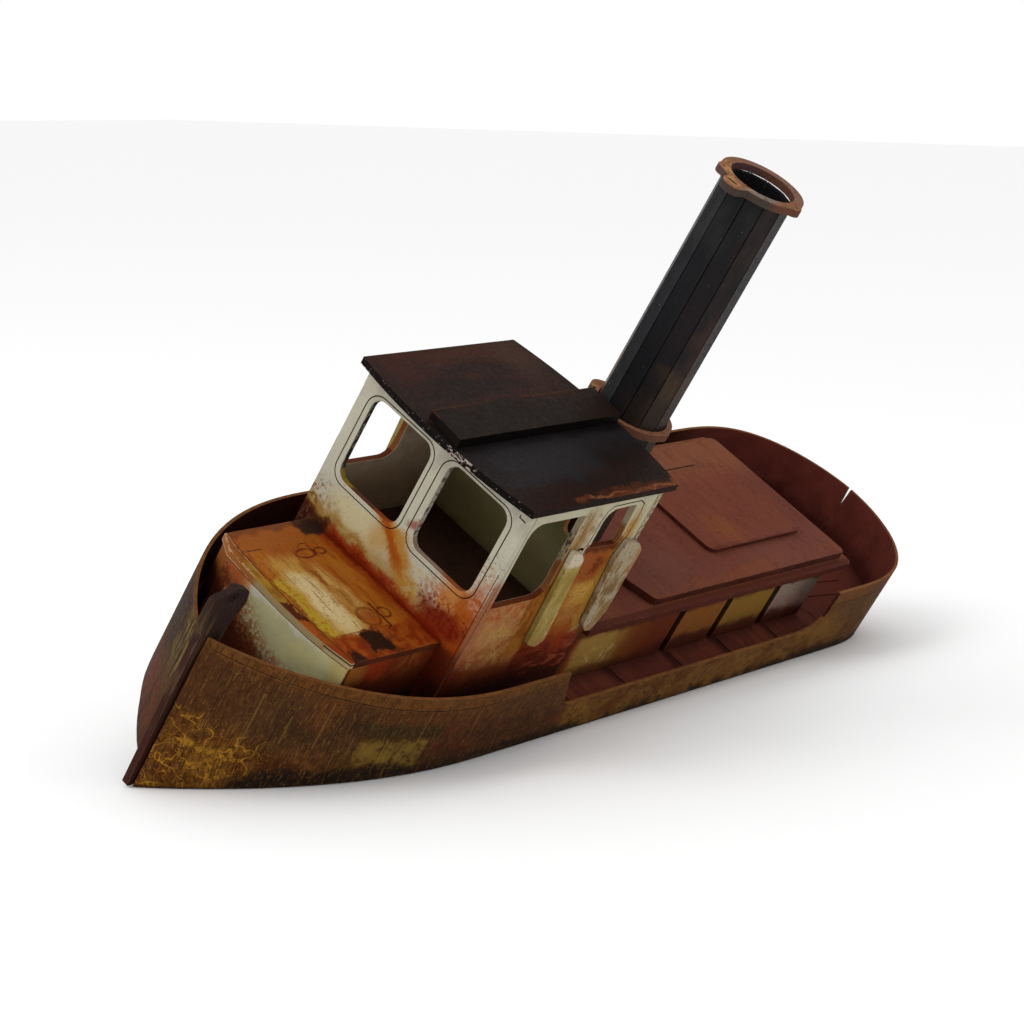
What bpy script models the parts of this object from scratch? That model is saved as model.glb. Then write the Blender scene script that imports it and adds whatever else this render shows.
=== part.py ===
"""Tabletop-scale model of a derelict steam tug, heeled over on the flat of its V bottom.

The boat is built in its own frame (x to port, y aft, z up from the deck, in millimetres)
under one empty, and the empty is then heeled so that the port bottom plate lies on z = 0.
"""
import math

import bmesh
import bpy
from mathutils import Matrix, Vector

MM = 0.001
GAP = 0.3                      # glue gap between neighbouring boards
CLOSE = 0.06                   # gap where boards are pressed together

# --- boards -----------------------------------------------------------------
BOARD = 2.0                    # laser-cut fibreboard
CARD = 1.0                     # thin grey card, bent round the hull
RAIL_T = 1.5                   # door posts

# --- hull -------------------------------------------------------------------
STEM_Y, STERN_Y = -63.0, 247.5
BEAM_HALF = 42.1               # at the widest, a little aft of the stem
BEAM_HALF_AFT = 41.0
BOW_FULL_Y, STERN_FULL_Y = 18.0, 190.0
BULWARK_Z = 18.0
SIDE_LOW_Z = 5.2               # top of the side where the bulwark is cut away
GAP_FWD_Y, GAP_AFT_Y = 42.0, 182.4
STERN_CLOSED = 0.85            # the sides meet at the stern up to this much of their height
KEEL_Z = -32.0                 # where the two bottom planes meet
FOREFOOT_Z = -17.8             # the starboard side is cut higher than the plane at the bow
DEADRISE = math.atan(0.623)    # slope of each bottom plane
DECK_T = 2.0

# --- deckhouses -------------------------------------------------------------
TRUNK_TOP_Z = 23.8
TRUNK_PORT_X, TRUNK_STBD_X = 25.4, -26.3       # the lid sits a little to starboard
TRUNK_NOSE = [(-26.3, -33.6), (-20.3, -37.3), (-10.0, -38.1), (2.0, -38.4), (12.0, -38.0), (19.0, -36.9),
              (25.4, -35.3)]                      # its cut front edge
TRUNK_JOINT = [(-26.3, -32.9), (-20.0, -34.3), (-10.0, -35.1), (0.0, -35.2), (15.0, -34.7), (25.4, -33.9)]
HOUSE_HALF, HOUSE_LEN, HOUSE_TOP_Z = 31.0, 58.0, 69.7
HOUSE_FLOOR_Z = 19.5
ROOF_HALF, ROOF_FWD_Y, ROOF_AFT_Y, ROOF_BOW = 32.6, -3.4, 60.0, 4.0
ROOF_Z = 70.0
STRIP_HALF, STRIP_T = 6.1, 2.7
CASING_HALF, CASING_AFT_Y, CASING_TOP_Z = 29.5, 190.0, 19.3
LOWER_HALF, LOWER_AFT_Y = 32.7, 199.4
UPPER_HALF, UPPER_FWD_Y, UPPER_AFT_Y = 29.6, 89.7, 197.2

# --- funnel -----------------------------------------------------------------
FUNNEL_Y, FUNNEL_R, STAVE_T, STAVES = 79.0, 10.3, 1.3, 12
FUNNEL_TOP_Z = 142.4
COLLAR_R, COLLAR_Z, RING_T, RING_Y = 12.2, 68.4, 2.2, 79.8


def material(name, colour, roughness=0.8, metallic=0.0):
    mat = bpy.data.materials.new(name)
    mat.use_nodes = True
    bsdf = mat.node_tree.nodes["Principled BSDF"]
    bsdf.inputs["Base Color"].default_value = (*colour, 1.0)
    bsdf.inputs["Roughness"].default_value = roughness
    bsdf.inputs["Metallic"].default_value = metallic
    mat.diffuse_color = (*colour, 1.0)
    return mat


def add_object(name, bm, mat, smooth=False):
    bmesh.ops.recalc_face_normals(bm, faces=bm.faces)
    bmesh.ops.scale(bm, vec=(MM, MM, MM), verts=bm.verts)
    mesh = bpy.data.meshes.new(name)
    bm.to_mesh(mesh)
    bm.free()
    mesh.materials.append(mat)
    if smooth:
        mesh.shade_smooth()
        mesh.set_sharp_from_angle(angle=math.radians(35))
    obj = bpy.data.objects.new(name, mesh)
    bpy.context.collection.objects.link(obj)
    obj.parent = SHIP
    return obj


def rounded(corners, steps=5):
    """Outline of (u, v, radius) corners with each corner turned as an arc."""
    points = []
    count = len(corners)
    for i, (u, v, r) in enumerate(corners):
        here = Vector((u, v))
        if r <= 0:
            points.append(here)
            continue
        to_prev = (Vector(corners[i - 1][:2]) - here).normalized()
        to_next = (Vector(corners[(i + 1) % count][:2]) - here).normalized()
        half = to_prev.angle(to_next) / 2
        centre = here + (to_prev + to_next).normalized() * (r / math.sin(half))
        start = here + to_prev * (r / math.tan(half)) - centre
        end = here + to_next * (r / math.tan(half)) - centre
        turn = start.angle_signed(end)
        for k in range(steps + 1):
            angle = -turn * k / steps
            c, s = math.cos(angle), math.sin(angle)
            points.append(centre + Vector((c * start.x - s * start.y, s * start.x + c * start.y)))
    return [tuple(p) for p in points]


def rect(u0, v0, u1, v1, r=0.0, steps=4):
    return rounded([(u0, v0, r), (u1, v0, r), (u1, v1, r), (u0, v1, r)], steps)


PLANES = {
    "XY": Matrix(((1, 0, 0), (0, 1, 0), (0, 0, 1))),     # u = x, v = y, thickness along z
    "XZ": Matrix(((1, 0, 0), (0, 0, 1), (0, 1, 0))),     # u = x, v = z, thickness along y
    "YZ": Matrix(((0, 0, 1), (1, 0, 0), (0, 1, 0))),     # u = y, v = z, thickness along x
}


def board(name, plane, outline, start, thickness, mat, holes=()):
    """Flat board cut to an outline, with holes, standing from start along its normal."""
    frame = PLANES[plane]
    bm = bmesh.new()
    edges = []
    for loop in (outline, *holes):
        verts = [bm.verts.new(frame @ Vector((u, v, start))) for u, v in loop]
        edges += [bm.edges.new((verts[i - 1], verts[i])) for i in range(len(verts))]
    if holes:
        bmesh.ops.triangle_fill(bm, use_beauty=True, use_dissolve=False, edges=edges)
    else:
        bm.faces.new(bm.verts)
    grown = bmesh.ops.extrude_face_region(bm, geom=bm.faces[:])
    moved = [g for g in grown["geom"] if isinstance(g, bmesh.types.BMVert)]
    bmesh.ops.translate(bm, vec=frame @ Vector((0, 0, thickness)), verts=moved)
    return add_object(name, bm, mat)


# --- hull lines -------------------------------------------------------------

def half_breadth(y):
    """Half breadth of the hull's outer face at y, as seen from above."""
    if y < BOW_FULL_Y:
        t = (y - STEM_Y) / (BOW_FULL_Y - STEM_Y)
        return BEAM_HALF * (1 - (1 - max(t, 0.0)) ** 2.35) ** 0.85
    if y < STERN_FULL_Y:
        t = (y - BOW_FULL_Y) / (STERN_FULL_Y - BOW_FULL_Y)
        return BEAM_HALF + (BEAM_HALF_AFT - BEAM_HALF) * t
    u = min((y - STERN_FULL_Y) / (STERN_Y - STERN_FULL_Y), 1.0)
    return BEAM_HALF_AFT * (1 - u ** 3.3) ** 0.56


def plan_line(inset, first_y, stern_x, steps=1.0):
    """Port half of the plan, stem to stern, moved in by inset."""
    ys = []
    bow, mid, stern = int(26 * steps), int(20 * steps), int(26 * steps)
    for k in range(bow):
        ys.append(STEM_Y + 0.9 + (BOW_FULL_Y - STEM_Y - 0.9) * (k / bow) ** 1.25)
    for k in range(mid):
        ys.append(BOW_FULL_Y + (STERN_FULL_Y - BOW_FULL_Y) * k / mid)
    for k in range(stern + 1):
        ys.append(STERN_FULL_Y + (STERN_Y - STERN_FULL_Y) * math.sin(math.pi / 2 * k / stern) ** 0.8)
    for edge in (GAP_FWD_Y, GAP_AFT_Y):
        ys += [edge + d for d in (0.0, 1.6, 3.4, 5.4, 7.6)] if edge == GAP_FWD_Y else [
            edge + d for d in (-13.0, -9.0, -6.0, -3.6, -1.8, -0.7, 0.0, 0.5)]
    ys = sorted(set(round(y, 3) for y in ys))
    points = []
    for y in ys:
        x = half_breadth(y)
        slope = (half_breadth(min(y + 0.05, STERN_Y)) - half_breadth(y - 0.05)) / 0.1
        normal = Vector((1.0, -slope)).normalized()
        p = Vector((x, y)) - normal * inset
        if p.y >= first_y and p.x > stern_x:
            points.append((p.x, p.y, y))
    return points


def top_of_side(y):
    """Height of the side: bulwark forward and aft, cut down amidships."""
    drop = BULWARK_Z - SIDE_LOW_Z
    if y <= GAP_FWD_Y:
        return BULWARK_Z
    if y < GAP_FWD_Y + 7.6:
        t = (y - GAP_FWD_Y) / 7.6
        return BULWARK_Z - drop * math.sin(math.pi / 2 * t) ** 1.1
    if y <= GAP_AFT_Y - 13.0:
        return SIDE_LOW_Z
    if y <= GAP_AFT_Y:
        t = (y - GAP_AFT_Y + 13.0) / 13.0
        return SIDE_LOW_Z + 6.5 * (1 - math.sqrt(max(0.0, 1 - t * t)))
    return BULWARK_Z + 0.8


def foot_of_side(x, y, side):
    """Height of the side's bottom edge: on the bottom plane, but cut higher at the starboard bow."""
    plane = KEEL_Z + math.tan(DEADRISE) * x
    if side < 0 and y < 0:
        return max(plane, FOREFOOT_Z - 0.35 * max(0.0, -52.0 - y))
    return plane


def hull_side(name, side, mat):
    """Bent card strip from stem to stern, bottom edge cut to the bottom plane."""
    outer = plan_line(0.0, -200.0, 0.0)
    inner = plan_line(CARD, -200.0, 0.0)
    rows = []
    inner_by_station = {station: (x, y) for x, y, station in inner}
    for x, y, station in outer:
        if station not in inner_by_station:
            continue
        xi, yi = inner_by_station[station]
        if min(x, xi) > 1.2:
            rows.append((x, y, xi, yi, station))
    rows.append((0.0, STERN_Y, 0.0, STERN_Y - CARD, STERN_Y))
    bm = bmesh.new()
    rings = []
    for x, y, xi, yi, station in rows:
        top = top_of_side(station)
        ring = []
        for px, py, levels in ((x, y, (0, STERN_CLOSED, 1)), (xi, yi, (1, STERN_CLOSED, 0))):
            foot = foot_of_side(px, y, side)
            for level in levels:
                at = px if station < STERN_Y else (0.55 if level == 1 else 0.08)
                ring.append(bm.verts.new((side * at, py, foot + (top - foot) * level)))
        rings.append(ring)
    for a, b in zip(rings, rings[1:]):
        for k in range(6):
            bm.faces.new((a[k], a[(k + 1) % 6], b[(k + 1) % 6], b[k]))
    bm.faces.new(rings[0])
    bm.faces.new(rings[-1])
    return add_object(name, bm, mat, smooth=True)


def bottom_plate(name, side, mat):
    """Flat plate of one side of the V bottom, lying just inside the bent side."""
    edge = [(x, y) for x, y, _ in plan_line(CARD + GAP, -53.0 if side > 0 else -42.0, 1.4, 0.6)]
    outline = [(1.3, edge[0][1])] + edge + [(1.3, edge[-1][1])]
    slope = math.tan(DEADRISE)
    bm = bmesh.new()
    low = [bm.verts.new((side * x, y, KEEL_Z + slope * x)) for x, y in outline]
    high = [bm.verts.new((side * x, y, KEEL_Z + slope * x + BOARD / math.cos(DEADRISE))) for x, y in outline]
    bm.faces.new(low)
    bm.faces.new(high)
    for i in range(len(low)):
        bm.faces.new((low[i - 1], low[i], high[i], high[i - 1]))
    return add_object(name, bm, mat)


def circle(cx, cy, r, steps, phase=0.0):
    return [(cx + r * math.cos(2 * math.pi * k / steps + phase),
             cy + r * math.sin(2 * math.pi * k / steps + phase)) for k in range(steps)]


def lugged_outline(cy, r, lugs, steps=72):
    """Round plate with round lugs (angle, centre distance, radius): the farther of the two, by angle."""
    points = []
    for k in range(steps):
        a = 2 * math.pi * k / steps
        reach = r
        for lug_angle, distance, lug_r in lugs:
            d = math.remainder(a - math.radians(lug_angle), 2 * math.pi)
            across = distance * math.sin(d)
            if abs(across) < lug_r and math.cos(d) > 0:
                reach = max(reach, distance * math.cos(d) + math.sqrt(lug_r ** 2 - across ** 2))
        points.append((reach * math.cos(a), cy + reach * math.sin(a)))
    return points


def build():
    hull_paint = material("hull_paint", (0.12, 0.07, 0.03), 0.75)
    stem_paint = material("stem_paint", (0.06, 0.04, 0.035), 0.8)
    deck_paint = material("deck_paint", (0.10, 0.03, 0.025), 0.85)
    bottom_paint = material("bottom_paint", (0.05, 0.035, 0.03), 0.85)
    house_paint = material("house_paint", (0.55, 0.50, 0.38), 0.7)
    rust_paint = material("rust_paint", (0.35, 0.12, 0.02), 0.75)
    roof_paint = material("roof_paint", (0.035, 0.025, 0.022), 0.6)
    casing_paint = material("casing_paint", (0.20, 0.09, 0.065), 0.8)
    panel_paint = material("panel_paint", (0.25, 0.16, 0.04), 0.8)
    funnel_paint = material("funnel_paint", (0.02, 0.02, 0.022), 0.55)
    ring_paint = material("ring_paint", (0.10, 0.04, 0.025), 0.75)

    # hull
    hull_side("hull_side_port", 1, hull_paint)
    hull_side("hull_side_starboard", -1, hull_paint)
    bottom_plate("hull_bottom_port", 1, bottom_paint)
    bottom_plate("hull_bottom_starboard", -1, bottom_paint)
    board("keel_strip", "XZ", rect(-1.0, KEEL_Z + 0.8, 1.0, KEEL_Z + 6.0), -53.0, 296.0, bottom_paint)
    board("stem_post", "YZ", rounded([
        (-63.2, KEEL_Z + 0.8, 0.5), (-55.0, KEEL_Z + 0.8, 0), (-55.0, 20.0, 1.5), (-52.4, 26.6, 1.5),
        (-53.2, 30.4, 1.6), (-58.6, 32.6, 1.0), (-61.0, 30.6, 0.5), (-65.0, 29.6, 1.4), (-65.4, 22.6, 1.5),
        (-63.9, 18.0, 1.5), (-63.8, -1.5, 0)]),
        -1.0, 2.0, stem_paint, [rounded([(-59.4, 29.4, 0.5), (-57.6, 27.0, 0.5), (-56.6, 27.7, 0.5),
                                         (-58.4, 30.1, 0.5)], 3)])
    deck_edge = [(x, y) for x, y, _ in plan_line(CARD + GAP, -53.0, 0.3, 0.8)]
    board("deck", "XY", deck_edge + [(-x, y) for x, y in reversed(deck_edge)], -DECK_T, DECK_T, deck_paint)

    # forward trunk
    def strip(line, inset, thickness):
        """Outline of a bent strip lying inset behind a line."""
        sides = ([], [])
        for i, here in enumerate(line):
            along = Vector(line[min(i + 1, len(line) - 1)]) - Vector(line[max(i - 1, 0)])
            back = Vector((-along.y, along.x)).normalized()
            for points, depth in zip(sides, (inset, inset + thickness)):
                points.append(tuple(Vector(here) + back * depth))
        return sides[0] + sides[1][::-1]

    under = TRUNK_TOP_Z - BOARD - GAP
    board("trunk_front", "XY", strip(TRUNK_NOSE[1:-1] + [(25.0, -35.4)], 0.0, 1.5), GAP, under - GAP,
          house_paint)
    board("trunk_side_port", "YZ", rect(-33.2, GAP, -GAP, under), TRUNK_PORT_X - 2.2, 1.8, rust_paint)
    corner = strip([(-25.6, -GAP), (-25.6, -17.0), (-25.6, -33.2), (-20.6, -36.2)], 0.0, 1.5)
    board("trunk_side_starboard", "XY", corner, GAP, under - GAP, rust_paint)
    board("trunk_front_rail", "XY", TRUNK_NOSE + TRUNK_JOINT[::-1], TRUNK_TOP_Z - BOARD, BOARD, rust_paint)
    lid = [(x, y + GAP) for x, y in TRUNK_JOINT]
    board("trunk_top", "XY", lid + [(TRUNK_PORT_X, -GAP), (TRUNK_STBD_X, -GAP)], TRUNK_TOP_Z - BOARD,
          BOARD, rust_paint)

    # wheelhouse
    def window(u0, v0, u1, v1, r):
        return rect(u0, v0, u1, v1, r)

    h = HOUSE_HALF
    board("wheelhouse_front", "XZ", rect(-h, GAP, h, HOUSE_TOP_Z), 0.0, BOARD, house_paint,
          [window(3.0, 38.4, 25.2, 65.0, 3.6), window(-25.8, 38.4, -3.2, 64.2, 3.6)])
    board("wheelhouse_aft", "XZ", rect(-h, GAP, h, HOUSE_TOP_Z), HOUSE_LEN - BOARD, BOARD, house_paint,
          [window(11.0, 40.0, 27.0, 63.5, 2.0), window(-27.0, 40.0, -11.0, 63.5, 2.0)])
    for side, word in ((1, "port"), (-1, "starboard")):
        start = h - BOARD if side > 0 else -h
        fore = rounded([(3.9, 38.4, 0.8), (26.3, 38.4, 4.5), (25.0, 65.6, 0.8), (3.0, 65.6, 4.0)])
        aft = rounded([(35.6, 53.2, 1.0), (48.8, 52.4, 1.5), (47.6, 65.9, 1.0), (35.2, 65.6, 4.0)])
        board(f"wheelhouse_side_{word}", "YZ", rect(BOARD + GAP, GAP, HOUSE_LEN - BOARD - GAP, HOUSE_TOP_Z),
              start, BOARD, house_paint, [fore, aft])
        out = h + GAP if side > 0 else -h - GAP - RAIL_T
        board(f"grab_rail_fwd_{word}", "YZ", rounded([(28.7, 23.0, 0.8), (33.0, 21.4, 1.2), (36.0, 23.0, 1.0),
              (32.8, 50.9, 0.8), (31.0, 52.9, 0.5), (26.4, 54.6, 0.8)]), out, RAIL_T, house_paint)
        board(f"grab_rail_aft_{word}", "YZ", rounded([(52.5, 24.9, 0.8), (54.8, 22.6, 0.8), (57.8, 22.3, 1.2),
              (60.3, 28.9, 1.0), (60.1, 50.0, 1.4), (57.2, 52.6, 1.6), (50.6, 54.3, 0.8), (49.2, 48.2, 0)]),
              out, RAIL_T, house_paint)
    board("wheelhouse_floor", "XY", rect(-h + 2.3, 2.3, h - 2.3, HOUSE_LEN - 2.3), HOUSE_FLOOR_Z - BOARD,
          BOARD, deck_paint)

    # roof with its two long edges bowed out, and the ridge strip along it
    def bowed(x, y, sign):
        return (x, y + sign * ROOF_BOW * (1 - (x / ROOF_HALF) ** 2))

    xs = [-ROOF_HALF + 2 * ROOF_HALF * k / 14 for k in range(15)]
    board("roof_panel", "XY", [bowed(x, ROOF_FWD_Y, -1) for x in xs] +
          [bowed(x, ROOF_AFT_Y, 1) for x in reversed(xs)], ROOF_Z, BOARD, roof_paint)
    board("roof_strip", "XY", [(-STRIP_HALF, -5.4), (STRIP_HALF, -6.9), (STRIP_HALF, 63.0),
          (-STRIP_HALF, 64.2)], ROOF_Z + BOARD + GAP, STRIP_T, roof_paint)

    # engine casing: three-layer roof over four panels a side
    z = CASING_TOP_Z
    for side, word in ((1, "port"), (-1, "starboard")):
        start = CASING_HALF - BOARD if side > 0 else -CASING_HALF
        ends = ((HOUSE_LEN + GAP, 111.6), (115.0, 136.8), (140.2, 163.8), (167.2, CASING_AFT_Y))
        for number, (a, b) in enumerate(ends, 1):
            board(f"casing_panel_{word}_{number}", "YZ", rect(a, GAP, b, z), start, BOARD, panel_paint)
    inside = CASING_HALF - BOARD - GAP
    board("casing_aft", "XZ", rect(-inside, GAP, inside, z), CASING_AFT_Y - BOARD, BOARD, panel_paint)
    u = LOWER_HALF
    board("casing_roof_lower", "XY", rounded([(-u, HOUSE_LEN + GAP, 0), (u, HOUSE_LEN + GAP, 0),
          (u, LOWER_AFT_Y, 2.5), (-u, LOWER_AFT_Y, 2.5)]), z + GAP, BOARD, casing_paint)
    u = UPPER_HALF
    board("casing_roof_upper", "XY", rounded([(-u, 92.5, 2), (-20.5, UPPER_FWD_Y, 0), (20.5, UPPER_FWD_Y, 0),
          (u, 92.5, 2), (u, UPPER_AFT_Y, 2.5), (-u, UPPER_AFT_Y, 2.5)]),
          z + 2 * GAP + BOARD, BOARD, casing_paint)
    board("casing_hatch", "XY", rect(-16.5, 135.0, 17.8, 186.0, 3.0),
          z + 3 * GAP + 2 * BOARD, CARD, casing_paint)

    # funnel: staves round a circle, a collar at roof height and a ring at the mouth
    base_z = z + 2 * GAP + BOARD
    for k in range(STAVES):
        mid = 2 * math.pi * k / STAVES + math.radians(4)
        half = [(r, math.pi / STAVES - math.asin(gap / 2 / r)) for r, gap in (
            (FUNNEL_R, GAP), (FUNNEL_R - 0.5, CLOSE), (FUNNEL_R - STAVE_T, CLOSE))]
        section = [(r, -a) for r, a in half[::-1]] + half
        board(f"funnel_stave_{k + 1:02d}", "XY", [(r * math.cos(mid + a), FUNNEL_Y + r * math.sin(mid + a))
              for r, a in section], base_z, FUNNEL_TOP_Z + GAP - CLOSE - base_z, funnel_paint)
    lugs = [(-170, 9.9, 4.2), (10, 9.2, 3.4)]
    board("funnel_collar", "XY", lugged_outline(FUNNEL_Y, COLLAR_R, lugs), COLLAR_Z, RING_T, ring_paint,
          [circle(0, FUNNEL_Y, FUNNEL_R + GAP, 24), circle(-10.6, FUNNEL_Y - 5.4, 0.6, 8)])
    lugs = [(-91, 13.2, 3.6), (2, 10.5, 2.9), (-136, 10.3, 2.9)]
    slot = rounded([(-2.6, 66.0, 0.4), (0.4, 66.0, 0.4), (0.4, 66.9, 0.4), (-2.6, 66.9, 0.4)], 3)
    board("funnel_ring", "XY", lugged_outline(RING_Y, COLLAR_R, lugs), FUNNEL_TOP_Z + GAP, RING_T,
          ring_paint, [circle(0, RING_Y, 9.4, 24), slot])


for old in list(bpy.data.objects):
    bpy.data.objects.remove(old, do_unlink=True)

SHIP = bpy.data.objects.new("ship_frame", None)
bpy.context.collection.objects.link(SHIP)
build()

# heel to port until the port bottom plane is level, then stand the boat on the ground
# with the middle of its bounding box over the origin
SHIP.rotation_euler = (0.0, DEADRISE, 0.0)
SHIP.location = (0.0, 0.0, 0.0)
bpy.context.view_layer.update()
corners = [o.matrix_world @ v.co for o in bpy.data.objects if o.type == "MESH" for v in o.data.vertices]
low = Vector(min(c[i] for c in corners) for i in range(3))
high = Vector(max(c[i] for c in corners) for i in range(3))
SHIP.location = (-(low.x + high.x) / 2, -(low.y + high.y) / 2, -low.z)
bpy.context.view_layer.update()
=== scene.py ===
"""Looks of the derelict tug model: painted, rusted fibreboard and card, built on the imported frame.

Paint is laid out in the ship's own millimetres: x to port, y aft, z up from the deck.
"""
import math

import bmesh
import bpy
from mathutils import Euler, Matrix, Vector


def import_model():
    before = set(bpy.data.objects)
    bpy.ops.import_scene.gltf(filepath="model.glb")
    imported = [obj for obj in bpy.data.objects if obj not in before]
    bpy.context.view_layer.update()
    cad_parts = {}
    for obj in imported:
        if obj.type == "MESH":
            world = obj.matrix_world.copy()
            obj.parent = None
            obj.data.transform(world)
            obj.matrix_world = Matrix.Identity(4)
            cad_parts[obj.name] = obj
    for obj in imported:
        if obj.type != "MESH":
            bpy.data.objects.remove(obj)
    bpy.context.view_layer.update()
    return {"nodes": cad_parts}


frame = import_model()
NODES = frame["nodes"]

MM = 0.001
DEADRISE_SLOPE = 0.623
DEADRISE = math.atan(DEADRISE_SLOPE)             # the heel of the boat on the ground
TO_WORLD = Euler((0.0, DEADRISE, 0.0)).to_matrix()
TO_SHIP = TO_WORLD.inverted()

# the keel strip runs from y -53 to 243 and z -31.2 to -26 on the centre plane, so its middle finds the origin
KEEL_STRIP_MIDDLE = Vector((0.0, 95.0, -28.6))
_turned = [TO_SHIP @ v.co for v in NODES["keel_strip"].data.vertices]
ORIGIN = Vector([(min(p[i] for p in _turned) + max(p[i] for p in _turned)) / 2 for i in range(3)])
ORIGIN -= KEEL_STRIP_MIDDLE * MM


def world(x, y, z):
    """Ship millimetres to metres in the row frame."""
    return TO_WORLD @ (Vector((x, y, z)) * MM + ORIGIN)


# --- hull lines, as the CAD has them ------------------------------------------
STEM_Y, STERN_Y, BEAM, BEAM_AFT = -63.0, 247.5, 42.1, 41.0
BOW_FULL_Y, STERN_FULL_Y, KEEL_Z = 18.0, 190.0, -32.0
BOW_TAPER, BOW_FULLNESS = 2.35, 0.85
STERN_TAPER, STERN_FULLNESS = 3.3, 0.56
HULL_MIDDLE_Y = 92.0
DECK_SEAMS = (60.0, 87.0, 116.5, 142.5, 169.5, 196.0)


def half_breadth(y):
    """From the centre plane to the hull side's outer face."""
    if y < BOW_FULL_Y:
        t = max((y - STEM_Y) / (BOW_FULL_Y - STEM_Y), 0.0)
        return BEAM * (1 - (1 - t) ** BOW_TAPER) ** BOW_FULLNESS
    if y < STERN_FULL_Y:
        return BEAM + (BEAM_AFT - BEAM) * (y - BOW_FULL_Y) / (STERN_FULL_Y - BOW_FULL_Y)
    u = min((y - STERN_FULL_Y) / (STERN_Y - STERN_FULL_Y), 1.0)
    return BEAM_AFT * (1 - u ** STERN_TAPER) ** STERN_FULLNESS


def hull_normal(y):
    """Straight out of the port side, level with the deck."""
    slope = (half_breadth(y + 0.1) - half_breadth(y - 0.1)) / 0.2
    return Vector((1.0, -slope, 0.0)).normalized()


# --- paint ---------------------------------------------------------------------
RAGGED_NOISES = ((0.16, 3, 6.0), (1.3, 4, 2.2))  # scale, detail and reach in mm of what frays the masks
GLOSS_SPREAD = 0.12
MIX_UNDER, MIX_OVER, MIX_RESULT = 6, 7, 2        # the Mix node's colour sockets
CREAM, MUSTARD = (182, 180, 167), (140, 98, 24)


def rgb(r, g, b):
    """0-255 sRGB to a linear colour."""
    return tuple((c / 255 / 12.92) if c <= 10 else ((c / 255 + 0.055) / 1.055) ** 2.4 for c in (r, g, b))


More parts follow.
